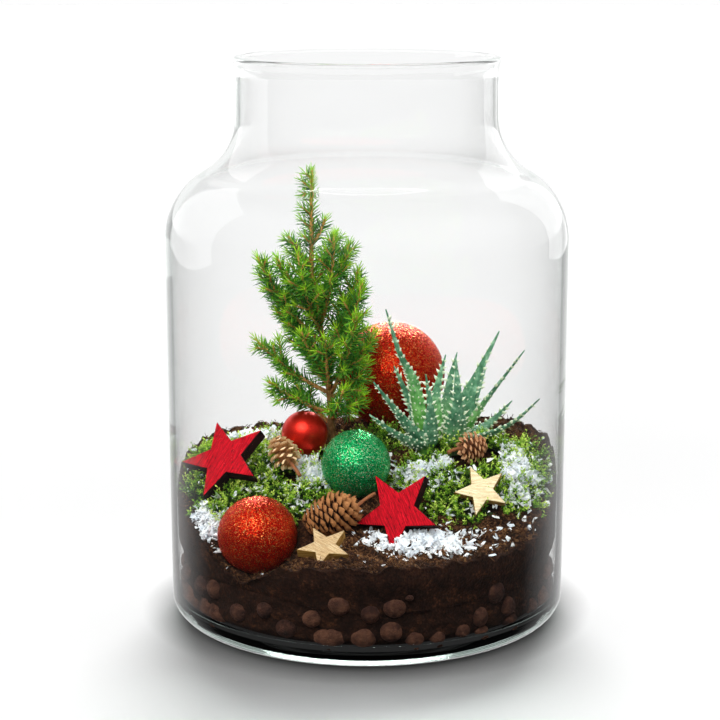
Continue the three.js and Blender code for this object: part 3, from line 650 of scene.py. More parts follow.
# %% What stands in the ground
BAUBLES = {  # centre and radius
    "bauble_red_front": ((-52.6, -56, 53.7), 19.2),
    "bauble_green": ((-5.5, -21.5, 79.9), 17.4),
    "bauble_red_satin": ((-31.9, 5, 88.5), 11.9),
    "bauble_red_back": ((13, 50, 109.2), 28.7),
}
STARS = {  # a point on the face, tilt in degrees about X, Y and Z, tip radius, thickness
    "star_red_left": ((-71.5, -22, 83.7), (-53.3, -11.5, -20.7), 23, 6.5),
    "star_red_right": ((14.2, -52.5, 64.8), (-43.2, -27.7, -23.4), 22, 7),
    "star_gold_front": ((-20.2, -75.5, 54.7), (-61.2, -24.9, -5.3), 13.2, 5.5),
    "star_gold_right": ((56.2, -36, 70.7), (-37.4, -22.8, -1.2), 13.7, 5.5),
}
STAR_WAIST = 0.42
CONES = {  # foot, tip, radius and stalk end
    "cone_left": ((-38, -22, 80), (-46.5, -12, 90), 7.6, (-33.2, -29, 75.8)),
    "cone_middle": ((-5.5, -48, 65), (-29.5, -56, 58.9), 10.4, (4, -42, 70.5)),
    "cone_right": ((47.4, -11, 84.6), (59.8, -7, 86.6), 7.6, (40.4, -14, 83.6)),
}
ALOE_HEARTS = {"aloe_left": (30, 3, 79), "aloe_right": (45.5, 10, 79)}
TRUNK_FOOT = (-19, 15, 52)


def star_turn(tilt):
    turn_x, turn_y, turn_z = (Matrix.Rotation(math.radians(d), 3, axis) for d, axis in zip(tilt, "XYZ"))
    return turn_x @ turn_y @ turn_z


def star_edge(angle):
    """Distance from a star's middle to its edge, for tips of radius 1, at an angle from the top tip."""
    wedge = math.pi / 5
    a = abs((angle + wedge) % (2 * wedge) - wedge)
    inner = (STAR_WAIST * math.sin(wedge), STAR_WAIST * math.cos(wedge))
    normal = (1 - inner[1], inner[0])
    return normal[1] / (math.sin(a) * normal[0] + math.cos(a) * normal[1])


def clearance(x, y, z):
    """Least distance from a point to a ball, star, cone or stem; negative inside one."""
    p = Vector((x, y, z))
    least = min((p - Vector(at)).length - radius for at, radius in BAUBLES.values())
    for at, tilt, radius, depth in STARS.values():
        q = star_turn(tilt).transposed() @ (p - Vector(at))
        beyond = math.hypot(q.x, q.z) - radius * star_edge(math.atan2(q.x, q.z))
        least = min(least, max(0.7 * beyond, q.y - depth, -q.y))
    for foot, tip, radius, stalk in CONES.values():
        for a, b, girth in ((Vector(foot), Vector(tip), radius), (Vector(stalk), Vector(foot), 1.2)):
            t = clamp01((p - a).dot(b - a) / (b - a).length_squared)
            least = min(least, (p - a.lerp(b, t)).length - girth)
    for (sx, sy, _), girth in ((TRUNK_FOOT, 3), *((heart, 6) for heart in ALOE_HEARTS.values())):
        least = min(least, math.hypot(x - sx, y - sy) - girth)
    return least


def pressed_down(x, y, z):
    """A ground height lowered to pass under the balls."""
    for (cx, cy, cz), radius in BAUBLES.values():
        away = math.hypot(x - cx, y - cy)
        if away < radius and z > cz - radius:
            z = min(z, cz - math.sqrt(radius ** 2 - away ** 2) - 0.2)
    return z


print("a spot inside the green ball:", round(clearance(-5.5, -21.5, 80), 1))

# %% [markdown]
# ### Potting soil
#
# Potting soil is dark composted bark and peat: a crumbly surface with clods of a few millimetres and
# paler fibres. The block is drawn with its clods in the mesh, flush with the glass, and two scatters
# lie on it: crumbs of one to three millimetres, and short fibres. The loose soil on top is dry and
# paler than the damp block behind the glass, and both are darkened towards the glass as painted
# shade where the soil meets the wall. Every crumb has its own brown.

# %% Peat finish
def peat(name, *browns):
    material, tree = new_material(name)
    clods = clouds(tree, 9, 5.0, 0.65)
    grit = cells(tree, 1.1)
    grain = add(tree, "ShaderNodeSeparateColor", {0: grit["Color"]})
    shade = weighed(tree, clods, (grain, 0.32), (own(tree), 0.3))
    dry = ramp(tree, shade, *zip((0.4, 0.65, 0.9, 1.0), browns))
    flat = add(tree, "ShaderNodeVectorMath", {0: spot_on(tree), 1: (1, 1, 0)}, operation="MULTIPLY")
    reach = add(tree, "ShaderNodeVectorMath", {0: flat}, "Value", operation="LENGTH")
    # Towards the glass the brown darkens: a painted shade where the soil meets the wall.
    brown_with_painted_shade = blend(tree, rescale(tree, reach, 80 * MM, 94 * MM, 0.0, 0.5), dry, linear("#1f0f08"))
    coat(tree, brown_with_painted_shade, 0.92, 0.2, (calc(tree, "ADD", grit["Distance"], clods), 0.6, 0.8))
    return material

damp_peat = peat("damp_peat", "#0c0502", "#1f0f08", "#3a1f11", "#5a361e")
loose_peat = peat("loose_peat", "#170d08", "#352115", "#65432a", "#916641")


# %% The soil block
def soil_top(x, y):
    z = soil_height(x, y) + 1.5 * crumble(x, y, 7) + 0.8 * crumble(x, y, 2.4, 3.0)
    return pressed_down(x, y, z)


def soil_profile(spokes=300, rings=92, rows=30):
    points, faces = [], []
    for i in range(spokes):
        a = 2 * math.pi * i / spokes
        ca, sa = math.cos(a), math.sin(a)
        for k in range(rings):
            r = FILL_RADIUS * (k + 1) / rings
            points.append((r * ca, r * sa, soil_top(r * ca, r * sa)))
        top = points[-1][2]
        low = bed_top(FILL_RADIUS * ca, FILL_RADIUS * sa) + 0.3
        for k in range(1, rows + 1):
            z = top + (low - top) * k / rows
            r = FILL_RADIUS - 0.4 - 0.35 * crumble(a * FILL_RADIUS, z, 3.0, 8.0) - 2.8 * smooth((44 - z) / 14)
            points.append((r * ca, r * sa, z))
        points.append((0.5 * FILL_RADIUS * ca, 0.5 * FILL_RADIUS * sa, low))
    column = rings + rows + 1
    for i in range(spokes):
        j = (i + 1) % spokes
        for k in range(column - 1):
            faces.append((i * column + k, i * column + k + 1, j * column + k + 1, j * column + k))
    crown, foot = len(points), len(points) + 1
    points += [(0, 0, soil_top(0, 0)), (0, 0, 29)]
    for i in range(spokes):
        j = (i + 1) % spokes
        faces.append((crown, i * column, j * column))
        faces.append((foot, j * column + column - 1, i * column + column - 1))
    return points, faces


soil_points, soil_faces = soil_profile()
soil_mesh = mesh_from("soil_block", soil_points, soil_faces, damp_peat)
attribute(soil_mesh, "shade", 0.35)
place("soil_block", soil_mesh, "potting_soil", "soil")


# %% Where crumbs may lie
def ground_patch(name, points, faces, cover_at):
    """A surface to scatter on. Its cover runs from 0, bare, to 1, full."""
    mesh = mesh_from(name, points, faces)
    attribute(mesh, "cover", [cover_at(*p) for p in points])
    return mesh


def disc(radius, step, height_at, centre=(0, 0), limit=FILL_RADIUS - 0.8):
    """A square grid of points over a disc, lifted to a height, kept inside the glass."""
    count = int(2 * radius / step) + 1
    points, index, faces = [], {}, []
    for i in range(count):
        for j in range(count):
            x, y = centre[0] - radius + i * step, centre[1] - radius + j * step
            if math.hypot(x, y) < limit and math.hypot(x - centre[0], y - centre[1]) <= radius:
                index[i, j] = len(points)
                points.append((x, y, height_at(x, y)))
    for i, j in index:
        corners = [(i, j), (i + 1, j), (i + 1, j + 1), (i, j + 1)]
        if all(c in index for c in corners):
            faces.append([index[c] for c in corners])
    return points, faces


def scallop(x, y, centre, reach, turn):
    """The wavy outline of a moss cushion in the direction of a spot, about 1."""
    a = math.atan2((y - centre[1]) / reach[1], (x - centre[0]) / reach[0])
    return 1 + 0.07 * math.sin(3 * a + turn) + 0.05 * math.sin(5 * a + 2 * turn)


def crumb_cover(x, y, z):
    beds = MOSS_BEDS.values()
    depth = max(1 - oval(x, y, at, reach) / scallop(x, y, at, reach, turn) for at, reach, _, turn in beds)
    return float(clearance(x, y, z) > 1.0 and depth < 0.1)


# %% Crumbs and fibres
WAIST = [(1, 0, 0.1), (0.2, 1, 0), (-0.9, 0.3, 0.2), (-0.5, -0.8, 0), (0.5, -0.7, 0.2)]
crumb_points = [(0.5 * x, 0.5 * y, 0.45 * z) for x, y, z in WAIST + [(0.1, 0.1, 0.9), (0, 0, -0.7)]]
crumb_faces = [(i, (i + 1) % 5, 5) for i in range(5)] + [((i + 1) % 5, i, 6) for i in range(5)]
FIBRE = [(-2.2, 0, 0), (-0.8, 0.5, 0.5), (0.7, 0.1, 0.2), (2.3, 0.7, 0.7)]
fibre_points = [(x, y + dy, z + dz) for x, y, z in FIBRE for dy, dz in ((-0.13, 0), (0.13, 0), (0, 0.2))]
crumb_ground = ground_patch("crumb_ground", *disc(96, 1.6, soil_top), crumb_cover)
crumbs = strew(crumb_ground, template("crumb", crumb_points, crumb_faces), loose_peat,
               1.0, 5e5, 0.6, 2.6, 3.0, seed=11)
place("soil_crumbs", crumbs, "potting_soil")
fibres = strew(crumb_ground, template("fibre", fibre_points, sleeve(4, 3)), loose_peat,
               1.3, 4e5, 0.5, 1.5, 0.7, seed=23)
place("soil_fibres", fibres, "potting_soil")

# %% [markdown]
# ### Expanded clay pebbles
#
# The drainage layer is expanded clay: baked brown balls of 8 to 16 mm with a dull, pitted skin. Only
# the ones that touch the glass show, half sunk in fine soil that has washed down between them. One
# rough ball is set on listed points round the wall, each with its own turn, size and shade.

# %% Clay finish
baked_clay, tree = new_material("baked_expanded_clay")
shade = weighed(tree, clouds(tree, 4, 4.0), (own(tree), 0.35))
skin = ramp(tree, shade, (0.35, "#1a0c08"), (0.62, "#3a2017"), (0.9, "#5c3a2a"))
coat(tree, skin, 0.88, 0.3, (cells(tree, 0.9)["Distance"], 0.9, 0.5))

# %% A rough ball
def icosphere(level, dent=0.0, lump=0.6, seed=0.0):
    """Points and faces of a ball of radius 1, dented by soft noise."""
    ball = bmesh.new()
    bmesh.ops.create_icosphere(ball, subdivisions=level, radius=1)
    shift = Vector((seed, 0, 0))
    points = [v.co * (1 + dent * noise.fractal(v.co / lump + shift, 0.9, 2.0, 2)) for v in ball.verts]
    faces = [[v.index for v in f.verts] for f in ball.faces]
    ball.free()
    return [tuple(p) for p in points], faces


pebble = template("pebble", *icosphere(3, dent=0.06), smooth=True)
print("a pebble has", len(pebble.data.polygons), "faces")

# %% Pebbles at the glass
PEBBLES = [  # bearing from the front in degrees, height, and half width and height
    (-41, 19.5, 4.4, 4.0), (-31, 24.0, 3.8, 3.6), (-24, 16.5, 5.0, 4.3), (-16, 23.1, 4.3, 3.8),
    (-11, 13.8, 7.4, 5.0), (-8, 30.6, 5.0, 4.4), (-1, 14.3, 5.9, 5.2), (1, 26.6, 4.2, 4.0),
    (7, 17.6, 5.2, 4.8), (8, 29.4, 5.2, 4.4), (12, 34.6, 1.8, 1.3), (14, 12.8, 4.3, 4.1),
    (21, 12.2, 3.6, 3.6), (29, 13.8, 3.6, 3.6), (35, 19.4, 3.8, 4.6), (41, 29.5, 5.1, 5.3),
    (46, 20.6, 4.4, 4.4), (48, 12.2, 4.2, 3.9), (59, 14.4, 3.4, 4.2), (36, 11.2, 3.4, 2.9)]
ROUND_THE_BACK = (  # bearings, largest girth, stray, lowest middle, share of the girth added to it, spread
    (np.arange(-293, -48, 5.6), 5.8, 1.5, 7.9, 1, 2),
    (np.arange(-291, -46, 8.2), 5.2, 3, 20, 0, 7),
)
for bearings, largest, stray, lowest, share, spread in ROUND_THE_BACK:
    for bearing in bearings:
        girth = luck.uniform(3.6, largest)
        bearing += luck.uniform(-stray, stray)
        z = lowest + share * girth + luck.uniform(0, spread)
        PEBBLES.append((bearing, z, girth * luck.uniform(0.95, 1.2), girth))
seats = []
for bearing, z, wide, high in PEBBLES:
    a = math.radians(bearing)
    deep = 0.9 * min(wide, high)
    reach = FILL_RADIUS - 0.35 - deep - 1.6 * smooth((17 - z) / 8)
    turn = Quaternion((0, 0, 1), a) @ Quaternion((0, 1, 0), luck.uniform(-0.25, 0.25))
    seats.append(((reach * math.sin(a), -reach * math.cos(a), z), turn, (1.1 * wide, deep, 1.1 * high)))
place("pebbles", set_out(pebble, baked_clay, seats, 0.15), "expanded_clay", "clay_pebbles")

# %% Soil washed down between the pebbles
WASHED_FOOT = 7.6
WASHED_TOP = 32
washed = [(93.4 - 8 * (1 - smooth((z - 2) / 13)), z) for z in np.linspace(WASHED_FOOT, WASHED_TOP, 26)]
washed_points, washed_faces = turned([(0, WASHED_FOOT)] + washed + [(0, WASHED_TOP)], 220)
shaped = []
for x, y, z in washed_points:
    out = 1 - 0.010 * crumble(math.atan2(y, x) * 90, z, 4.0, 5.0) if z > WASHED_FOOT else 1
    shaped.append((x * out, y * out, min(z, bed_top(x, y) + 0.2)))
washed_mesh = mesh_from("washed_soil", shaped, washed_faces, damp_peat)
attribute(washed_mesh, "shade", 0.2)
place("washed_soil", washed_mesh, "potting_soil")

# %% [markdown]
# ### Moss
#
# Feather moss grows as a mat of soft shoots, five to eight millimetres tall, each with tiny leaves
# that are old below and yellow-green at the tip; their near-black foot is partly old leaves and
# partly painted shade deep in the mat. A dark cushion in the shape of the solid carries the mat,
# dark as old moss and as painted shade in the gaps, and one small sprig is scattered over it a few
# thousand times with its own turn, lean, size and shade. The sprig carries a value that runs from
# its foot to its tip for the colour.

# %% Moss finishes
feather_moss, tree = new_material("feather_moss")
tips = calc(tree, "MULTIPLY", own(tree, "tipward"), 0.55)
shade = weighed(tree, tips, (own(tree), 0.25), (clouds(tree, 14, 2.0), 0.35))
# Darkest at the foot of each sprig: partly old leaves, partly painted shade deep in the mat.
green = ramp(tree, shade, (0.25, "#081203"), (0.52, "#284e09"), (0.75, "#74a81c"), (0.98, "#d4e868"))
coat(tree, green, 0.7, 0.3)

moss_mat, tree = new_material("old_and_shaded_moss_mat")
tangle = clouds(tree, 2, 4.0, 0.7)
# The cushion is dark as old moss and as painted shade in the gaps between sprigs.
dark = ramp(tree, tangle, (0.3, "#101a06"), (0.6, "#27400d"), (0.8, "#3d5f15"))
coat(tree, dark, 0.9, relief=(tangle, 0.9, 1.2))


# %% A sprig of moss
def moss_sprig(height=7.0, leaves=12, joints=4):
    """A bowed stem with leaves on a spiral, and how far up each point is."""
    def stem(t):
        return Vector((0.25 * height * t ** 2, 0, height * t))

    points, along = [], []
    for k in range(joints + 1):
        girth = 0.24 * (1 - 0.7 * k / joints)
        ring = [Vector((girth * math.cos(a), girth * math.sin(a), 0)) for a in (0, 2.1, 4.2)]
        points += [stem(k / joints) + spoke for spoke in ring]
        along += [k / joints] * 3
    faces = sleeve(joints + 1, 3)[:-2]
    for i in range(leaves):
        t = 0.12 + 0.88 * i / (leaves - 1)
        a = 2.4 * i
        out = Vector((math.cos(a), math.sin(a), 1.1 if t > 0.85 else 0.55)).normalized()
        side = out.cross(Vector((0, 0, 1))).normalized() * 0.36
        length = 2.1 * (1 - 0.4 * t)
        middle = stem(t) + out * 0.45 * length
        faces.append(tuple(range(len(points), len(points) + 4)))
        points += [stem(t), middle + side, stem(t) + out * length, middle - side + Vector((0, 0, 0.12))]
        along += [t, t + 0.05, t + 0.15, t + 0.05]
    return points, faces, along


sprig_points, sprig_faces, sprig_along = moss_sprig()
sprig = template("sprig", sprig_points, sprig_faces)
attribute(sprig.data, "tipward", sprig_along)


# %% Moss cushions
def moss_patch(centre, reach, thickness, turn):
    """Points and faces of a cushion, and the cover at each point."""
    def height_at(x, y):
        swell = thickness * max(0.0, 1 - oval(x, y, centre, reach) ** 3)
        return pressed_down(x, y, soil_height(x, y) + swell + 1.3 * crumble(x, y, 9, 2.0) - 3.4)

    points, faces = disc(1.14 * max(reach), 1.5, height_at, centre, FILL_RADIUS - 1.5)
    covered = []
    for x, y, z in points:
        inside = scallop(x, y, centre, reach, turn) - oval(x, y, centre, reach)
        inside += 0.08 * crumble(x, y, 6, 4.0)
        free = min(clearance(x, y, z + 1), clearance(x, y, z + 4)) > 1.2
        covered.append(smooth(inside / 0.12) * free)
    return points, faces, covered


for name, bed in MOSS_BEDS.items():
    points, faces, covered = moss_patch(*bed)
    kept = [f for f in faces if max(covered[i] for i in f) > 0]
    used = sorted({i for f in kept for i in f})
    renumber = {old: new for new, old in enumerate(used)}
    mat = mesh_from("mat", [points[i] for i in used], [[renumber[i] for i in f] for f in kept], moss_mat)
    ground = mat.copy()
    attribute(ground, "cover", [covered[i] for i in used])
    sprigs = strew(ground, sprig, feather_moss, 1.2, 1.1e6, 0.5, 1.3, 0.8, seed=31 + len(name))
    place(name + "_mat", mat, "moss")
    place(name + "_sprigs", sprigs, "moss", name)

# %% [markdown]
# ### Paper snow
#
# The snow is shredded white paper fibre. It lies in loose drifts where the solids are, three to four
# millimetres deep, with single flakes strayed round them. A crumpled flake of twenty faces is
# scattered in three layers over each drift, thin at the edge, and once sparsely over moss and soil.

# %% Snow finish
paper_fibre, tree = new_material("white_paper_fibre")
white = ramp(tree, own(tree), (0.0, "#e6ecf5"), (0.5, "#f7f9fd"), (1.0, "#ffffff"))
coat(tree, white, 0.85, 0.2, (clouds(tree, 0.7, 3.0), 0.6, 0.3))

# %% Flakes and drifts
DRIFTS = {  # centre and reach
    "snow_front": ((27, -61), (24, 10)),
    "snow_left": ((-77, -46), (10, 11)),
    "snow_behind_star": ((-58, 20), (15, 9)),
    "snow_middle": ((-27, -17), (9, 9)),
    "snow_moss_right": ((27, -18), (13, 7)),
    "snow_right": ((75, -20), (9, 15)),
}
LAYERS = ((0.6, 1.0, 0.1), (1.8, 0.9, 0.0), (3.0, 0.7, -0.1))  # lift, spread and spare cover
flake_points, flake_faces = icosphere(1, dent=1.1, lump=0.5, seed=3.0)
flake = template("flake", [(1.5 * x, 0.6 * y, 0.32 * z) for x, y, z in flake_points], flake_faces)
print("a flake has", len(flake_faces), "faces")


def lifted(lift):
    """The height of the ground raised by a little."""
    return lambda x, y: pressed_down(x, y, moss_height(x, y) + lift)


def drift_layer(centre, reach, lift, spread, spare):
    def cover_at(x, y, z):
        patchy = 1 - oval(x, y, centre, reach) / spread + 0.95 * crumble(x, y, 6, 2.0) + spare
        return smooth(patchy / 0.35) * (clearance(x, y, z) > 0.6)

    area = disc(1.25 * max(reach), 1.0, lifted(lift), centre, FILL_RADIUS - 1.5)
    ground = ground_patch("drift", *area, cover_at)
    return strew(ground, flake, paper_fibre, 0.9, 2.2e6, 0.5, 1.9, 1.3, seed=int(10 * lift))


def stray_cover(x, y, z):
    near = max(1.4 - oval(x, y, centre, (rx + 9, ry + 9)) for centre, (rx, ry) in DRIFTS.values())
    near += 1.3 * hill(x, y, -44, -24, 17) + 0.8 * hill(x, y, 62, -34, 14) + 1.2 * hill(x, y, -78, -54, 9)
    return clamp01(0.5 * near + 1.1 * crumble(x, y, 8, 9.0) - 0.15) * (clearance(x, y, z) > 0.6) * (y < 45)


for name, (centre, reach) in DRIFTS.items():
    layers = [drift_layer(centre, reach, *layer) for layer in LAYERS]
    place(name + "_flakes", joined(name, *layers), "paper_snow", name)
stray_ground = ground_patch("stray", *disc(95, 1.6, lifted(0.5)), stray_cover)
strays = strew(stray_ground, flake, paper_fibre, 1.4, 3.6e5, 0.5, 1.7, 1.2, seed=77)
place("stray_flakes", strays, "paper_snow")

# %% [markdown]
# ## Baubles
#
# Three are plastic balls rolled in coarse glitter: diamonds of metallised film about 0.7 mm wide,
# each lying at its own slant, so that some flash and most are dark. Each flake also has its own
# shade, from deep to pale: partly the flakes' own varied tone, partly painted glint on the palest.
# Real flakes are scattered over a ball of the same colour, because only separate facets sparkle
# like glitter. The fourth ball has a satin lacquer: a fine metallic red whose highlight is wide and
# soft.

# %% Glitter and satin finishes
def glitter_finish(name, deep, middle, bright, flash):
    """Metallised flakes, each shaded from deep to flash: partly their own tone, partly painted glint."""
    material, tree = new_material(name)
    colour = ramp(tree, own(tree), (0.05, deep), (0.4, middle), (0.72, bright), (1.0, flash))
    coat(tree, colour, 0.26, 0.1, Metallic=0.9)
    return material


def glitter_base(name, dark, light):
    """The painted ball under the glitter, with finer glitter dust in the gaps."""
    material, tree = new_material(name)
    dust = add(tree, "ShaderNodeSeparateColor", {0: cells(tree, 0.45)["Color"]})
    colour = ramp(tree, dust, (0.0, dark), (0.8, dark), (1.0, light))
    coat(tree, colour, 0.46, 0.1, (dust, 0.8, 0.3), Metallic=0.78)
    return material

RED_GLITTER = (glitter_finish("red_polyester_glitter", "#b40e06", "#ff3614", "#ff6e30", "#ffae66"),
               glitter_base("red_ball_paint", "#c00e08", "#ff5c28"))
GREEN_GLITTER = (glitter_finish("green_polyester_glitter", "#0a9448", "#30f08a", "#90ffb8", "#f4ffd0"),
                 glitter_base("green_ball_paint", "#0aa454", "#48ffa0"))

satin_red, tree = new_material("satin_red_lacquer")
frost = clouds(tree, 0.5, 2.0)
red = ramp(tree, frost, (0.3, "#e01a0e"), (0.7, "#f83018"))
coat(tree, red, 0.36, relief=(frost, 0.12, 0.1), Metallic=0.92, Coat_Weight=0.3, Coat_Roughness=0.32)


# %% Balls and their glitter
def ball_mesh(name, at, radius, material, level=5):
    points, faces = icosphere(level)
    return mesh_from(name, [tuple(at[i] + radius * p[i] for i in range(3)) for p in points], faces, material)


diamond = template("glitter_flake", [(0.36, 0, 0), (0, 0.3, 0), (-0.36, 0, 0), (0, -0.3, 0)], [(0, 1, 2, 3)])
for name, (at, radius) in BAUBLES.items():
    if name == "bauble_red_satin":
        place("satin_ball", ball_mesh("satin_ball", at, radius, satin_red, 6), "red_satin_bauble", name)
        continue
    glitter, paint = GREEN_GLITTER if name == "bauble_green" else RED_GLITTER
    core = ball_mesh(name, at, radius - 0.5, paint)
    seat = ball_mesh(name, at, radius - 0.22, paint)
    attribute(seat, "cover", 1.0)
    flakes = strew(seat, diamond, glitter, 0.4, 6e6, 0.7, 1.15, 0.3, seed=41)
    slot = "green_glitter_bauble" if name == "bauble_green" else "red_glitter_bauble"
    place(name + "_ball", joined(name, core, flakes), slot, name)

# %% [markdown]
# ## Wooden stars
#
# The stars are sawn from thin board: a painted face with the open grain showing through as fine dark
# lines, softly worn edges, and bare sides stained almost black on the red ones and brown on the gold.
# Each star is an outline with a thickness and a small bevel. Its own map, in millimetres on the
# board, keeps the grain straight however the star lies.

# %% Painted wood
def painted_wood(name, low, mid, high, pore, roughness, metal=0.0):
    """Thin paint on open-grained board: streaks along the grain and dark pores."""
    material, tree = new_material(name)
    board = add(tree, "ShaderNodeUVMap", uv_map="board")

    def along_grain(scale, **look):
        spot = add(tree, "ShaderNodeMapping", {0: board, "Scale": scale})
        return add(tree, "ShaderNodeTexNoise", {"Vector": spot, "Scale": 1.0, **look}, "Fac")

    streaks = along_grain((1.4, 0.09, 1.0), Detail=4.0, Roughness=0.7)
    pores = rescale(tree, along_grain((3.2, 0.35, 1.0), Detail=2.0), 0.54, 0.66, 0.0, 0.85)
    paint = ramp(tree, streaks, (0.36, low), (0.5, mid), (0.64, high))
    relief = (calc(tree, "SUBTRACT", streaks, pores), 0.45, 0.2)
    coat(tree, blend(tree, pores, paint, linear(pore)), roughness, 0.1, relief, Metallic=metal)
    return material

red_paint = painted_wood("red_stain_on_board", "#7c000b", "#bc0018", "#dc0a22", "#36000a", 0.6)
red_side = painted_wood("dark_sawn_side", "#120808", "#1d0d10", "#331518", "#0a0505", 0.8)
# The two gold faces are one paint in two brightnesses: darker on the front star as painted shade, paler on
# the right star as painted light.
gold_face_shaded = painted_wood("gold_face_darkened_as_painted_shade", "#b48f62", "#c6a67c", "#dcc6a0", "#94704a", 0.42, 0.2)
gold_face_lit = painted_wood("gold_face_lightened_as_painted_light", "#dcc294", "#f0dab0", "#fff2d4", "#c8a878", 0.42, 0.2)
gold_side = painted_wood("brown_sawn_side", "#8a6229", "#a37a3a", "#bd9450", "#5f4219", 0.7)


# %% Sawing a star
def star_mesh(name, at, tilt, radius, depth, face_material, side_material, grain_turn):
    board = bmesh.new()
    layer = board.loops.layers.uv.new("board")
    reach = [radius if i % 2 == 0 else radius * STAR_WAIST for i in range(10)]
    angles = [math.pi / 2 + i * math.pi / 5 for i in range(10)]
    front = [board.verts.new((r * math.cos(a), 0, r * math.sin(a))) for r, a in zip(reach, angles)]
    rear = [board.verts.new((r * math.cos(a), depth, r * math.sin(a))) for r, a in zip(reach, angles)]
    board.faces.new(front)
    board.faces.new(rear[::-1])
    for i in range(10):
        side = board.faces.new((front[i], rear[i], rear[(i + 1) % 10], front[(i + 1) % 10]))
        side.material_index = 1
    bmesh.ops.recalc_face_normals(board, faces=board.faces)
    bmesh.ops.bevel(board, geom=board.edges[:], offset=0.45, segments=2, profile=0.6, affect="EDGES",
                    material=-1)
    cosine, sine = math.cos(grain_turn), math.sin(grain_turn)
    for face in board.faces:
        for loop in face.loops:
            x, y, z = loop.vert.co
            if face.material_index == 1:
                loop[layer].uv = (y + 0.3 * x, x + z)
            else:
                loop[layer].uv = (x * cosine + z * sine, z * cosine - x * sine)
        face.smooth = False
    turn = star_turn(tilt)
    for v in board.verts:
        v.co = (turn @ v.co + Vector(at)) * MM
    mesh = bpy.data.meshes.new(name)
    board.to_mesh(mesh)
    board.free()
    mesh.materials.append(face_material)
    mesh.materials.append(side_material)
    return mesh


STAR_PAINTS = {  # face, side and turn of the grain
    "star_red_left": (red_paint, red_side, -0.7),
    "star_red_right": (red_paint, red_side, -0.15),
    "star_gold_front": (gold_face_shaded, gold_side, 0.5),
    "star_gold_right": (gold_face_lit, gold_side, 1.1),
}
for name, paints in STAR_PAINTS.items():
    slot = "red_wood" if "red" in name else "gold_wood"
    place(name + "_board", star_mesh(name, *STARS[name], *paints), slot, name)

# %% [markdown]
# ## Cones
#
# Small dry cones: woody scales in spirals round a core, each scale a thin wedge that
# widens to a blunt lip. The spiral is the sunflower rule, one scale every 137.5 degrees, so one
# scale shape is set on points that follow it. Scales are tan or orange-brown at the lip and darken
# to almost black deep between them as painted shade.

# %% Cone finish
def cone_finish(name, deep, middle, lip):
    material, tree = new_material(name)
    fleck = clouds(tree, 0.8, 3.0)
    shade = weighed(tree, own(tree, "tipward"), (own(tree), 0.2), (fleck, 0.35))
    # Each scale darkens to almost black towards its foot: painted shade between the scales.
    coat(tree, ramp(tree, shade, (0.45, deep), (0.95, middle), (1.0, lip)), 0.75, 0.3, (fleck, 0.5, 0.25))
    return material

CONE_FINISHES = {
    "cone_left": cone_finish("pale_dry_scales", "#6a3e20", "#d49a62", "#ffdcae"),
    "cone_middle": cone_finish("orange_brown_scales", "#150703", "#582c13", "#a87042"),
    "cone_right": cone_finish("brown_dry_scales", "#3a1c10", "#a86a44", "#e0a87c"),
}

# %% One scale, and the spiral
# A scale of length 1 along +Z with its upper face towards +X: narrow at the core, wide and thick at the lip.
SECTIONS = ((0.0, 0.2, 0.05, 0.0), (0.5, 0.38, 0.07, 0.02), (0.78, 0.42, 0.09, -0.02),
            (0.95, 0.36, 0.09, -0.12), (1.05, 0.16, 0.06, -0.24))  # height, half width, half thickness, bow
scale_points = []
for z, half, thick, bow in SECTIONS:
    scale_points += [(bow + thick, 0, z), (bow, half, z), (bow - thick, 0, z), (bow, -half, z)]
scale_shape = template("cone_scale", scale_points, sleeve(len(SECTIONS), 4))
attribute(scale_shape.data, "tipward", [z for _, _, z in scale_points])


def egg(t):
    return math.sin(math.pi * (0.1 + 0.82 * t ** 0.85)) ** 0.75


def tube(line, radius_at, sides):
    """Points and faces of a closed tube along a list of points."""
    line = [Vector(p) for p in line]
    points = []
    across = (line[1] - line[0]).orthogonal().normalized()
    for k, centre in enumerate(line):
        ahead = (line[min(k + 1, len(line) - 1)] - line[max(k - 1, 0)]).normalized()
        across = (across - ahead * across.dot(ahead)).normalized()
        up = ahead.cross(across)
        radius = radius_at(k / (len(line) - 1))
        for i in range(sides):
            a = 2 * math.pi * i / sides
            points.append(tuple(centre + (across * math.cos(a) + up * math.sin(a)) * radius))
    return points, sleeve(len(line), sides)


def cone_seats(foot, tip, radius, count):
    axis = (tip - foot).normalized()
    side = axis.orthogonal().normalized()
    seats = []
    for i in range(count):
        t = 0.03 + 0.95 * i / (count - 1)
        out = Quaternion(axis, 2.39996 * i) @ side
        lean = -0.2 + 1.1 * t + luck.uniform(-0.16, 0.16)
        ahead = (out * math.cos(lean) + axis * math.sin(lean)).normalized()
        ring = radius * egg(t)
        seat = foot.lerp(tip, t) + out * 0.3 * ring - axis * 0.3 * ring * math.sin(lean)
        wide = 0.58 * radius * (0.5 + 0.5 * egg(t)) * luck.uniform(0.85, 1.15)
        size = (0.8 * radius, wide, 0.72 * ring * luck.uniform(0.88, 1.08))
        seats.append((seat, upright(ahead, axis), size))
    return seats


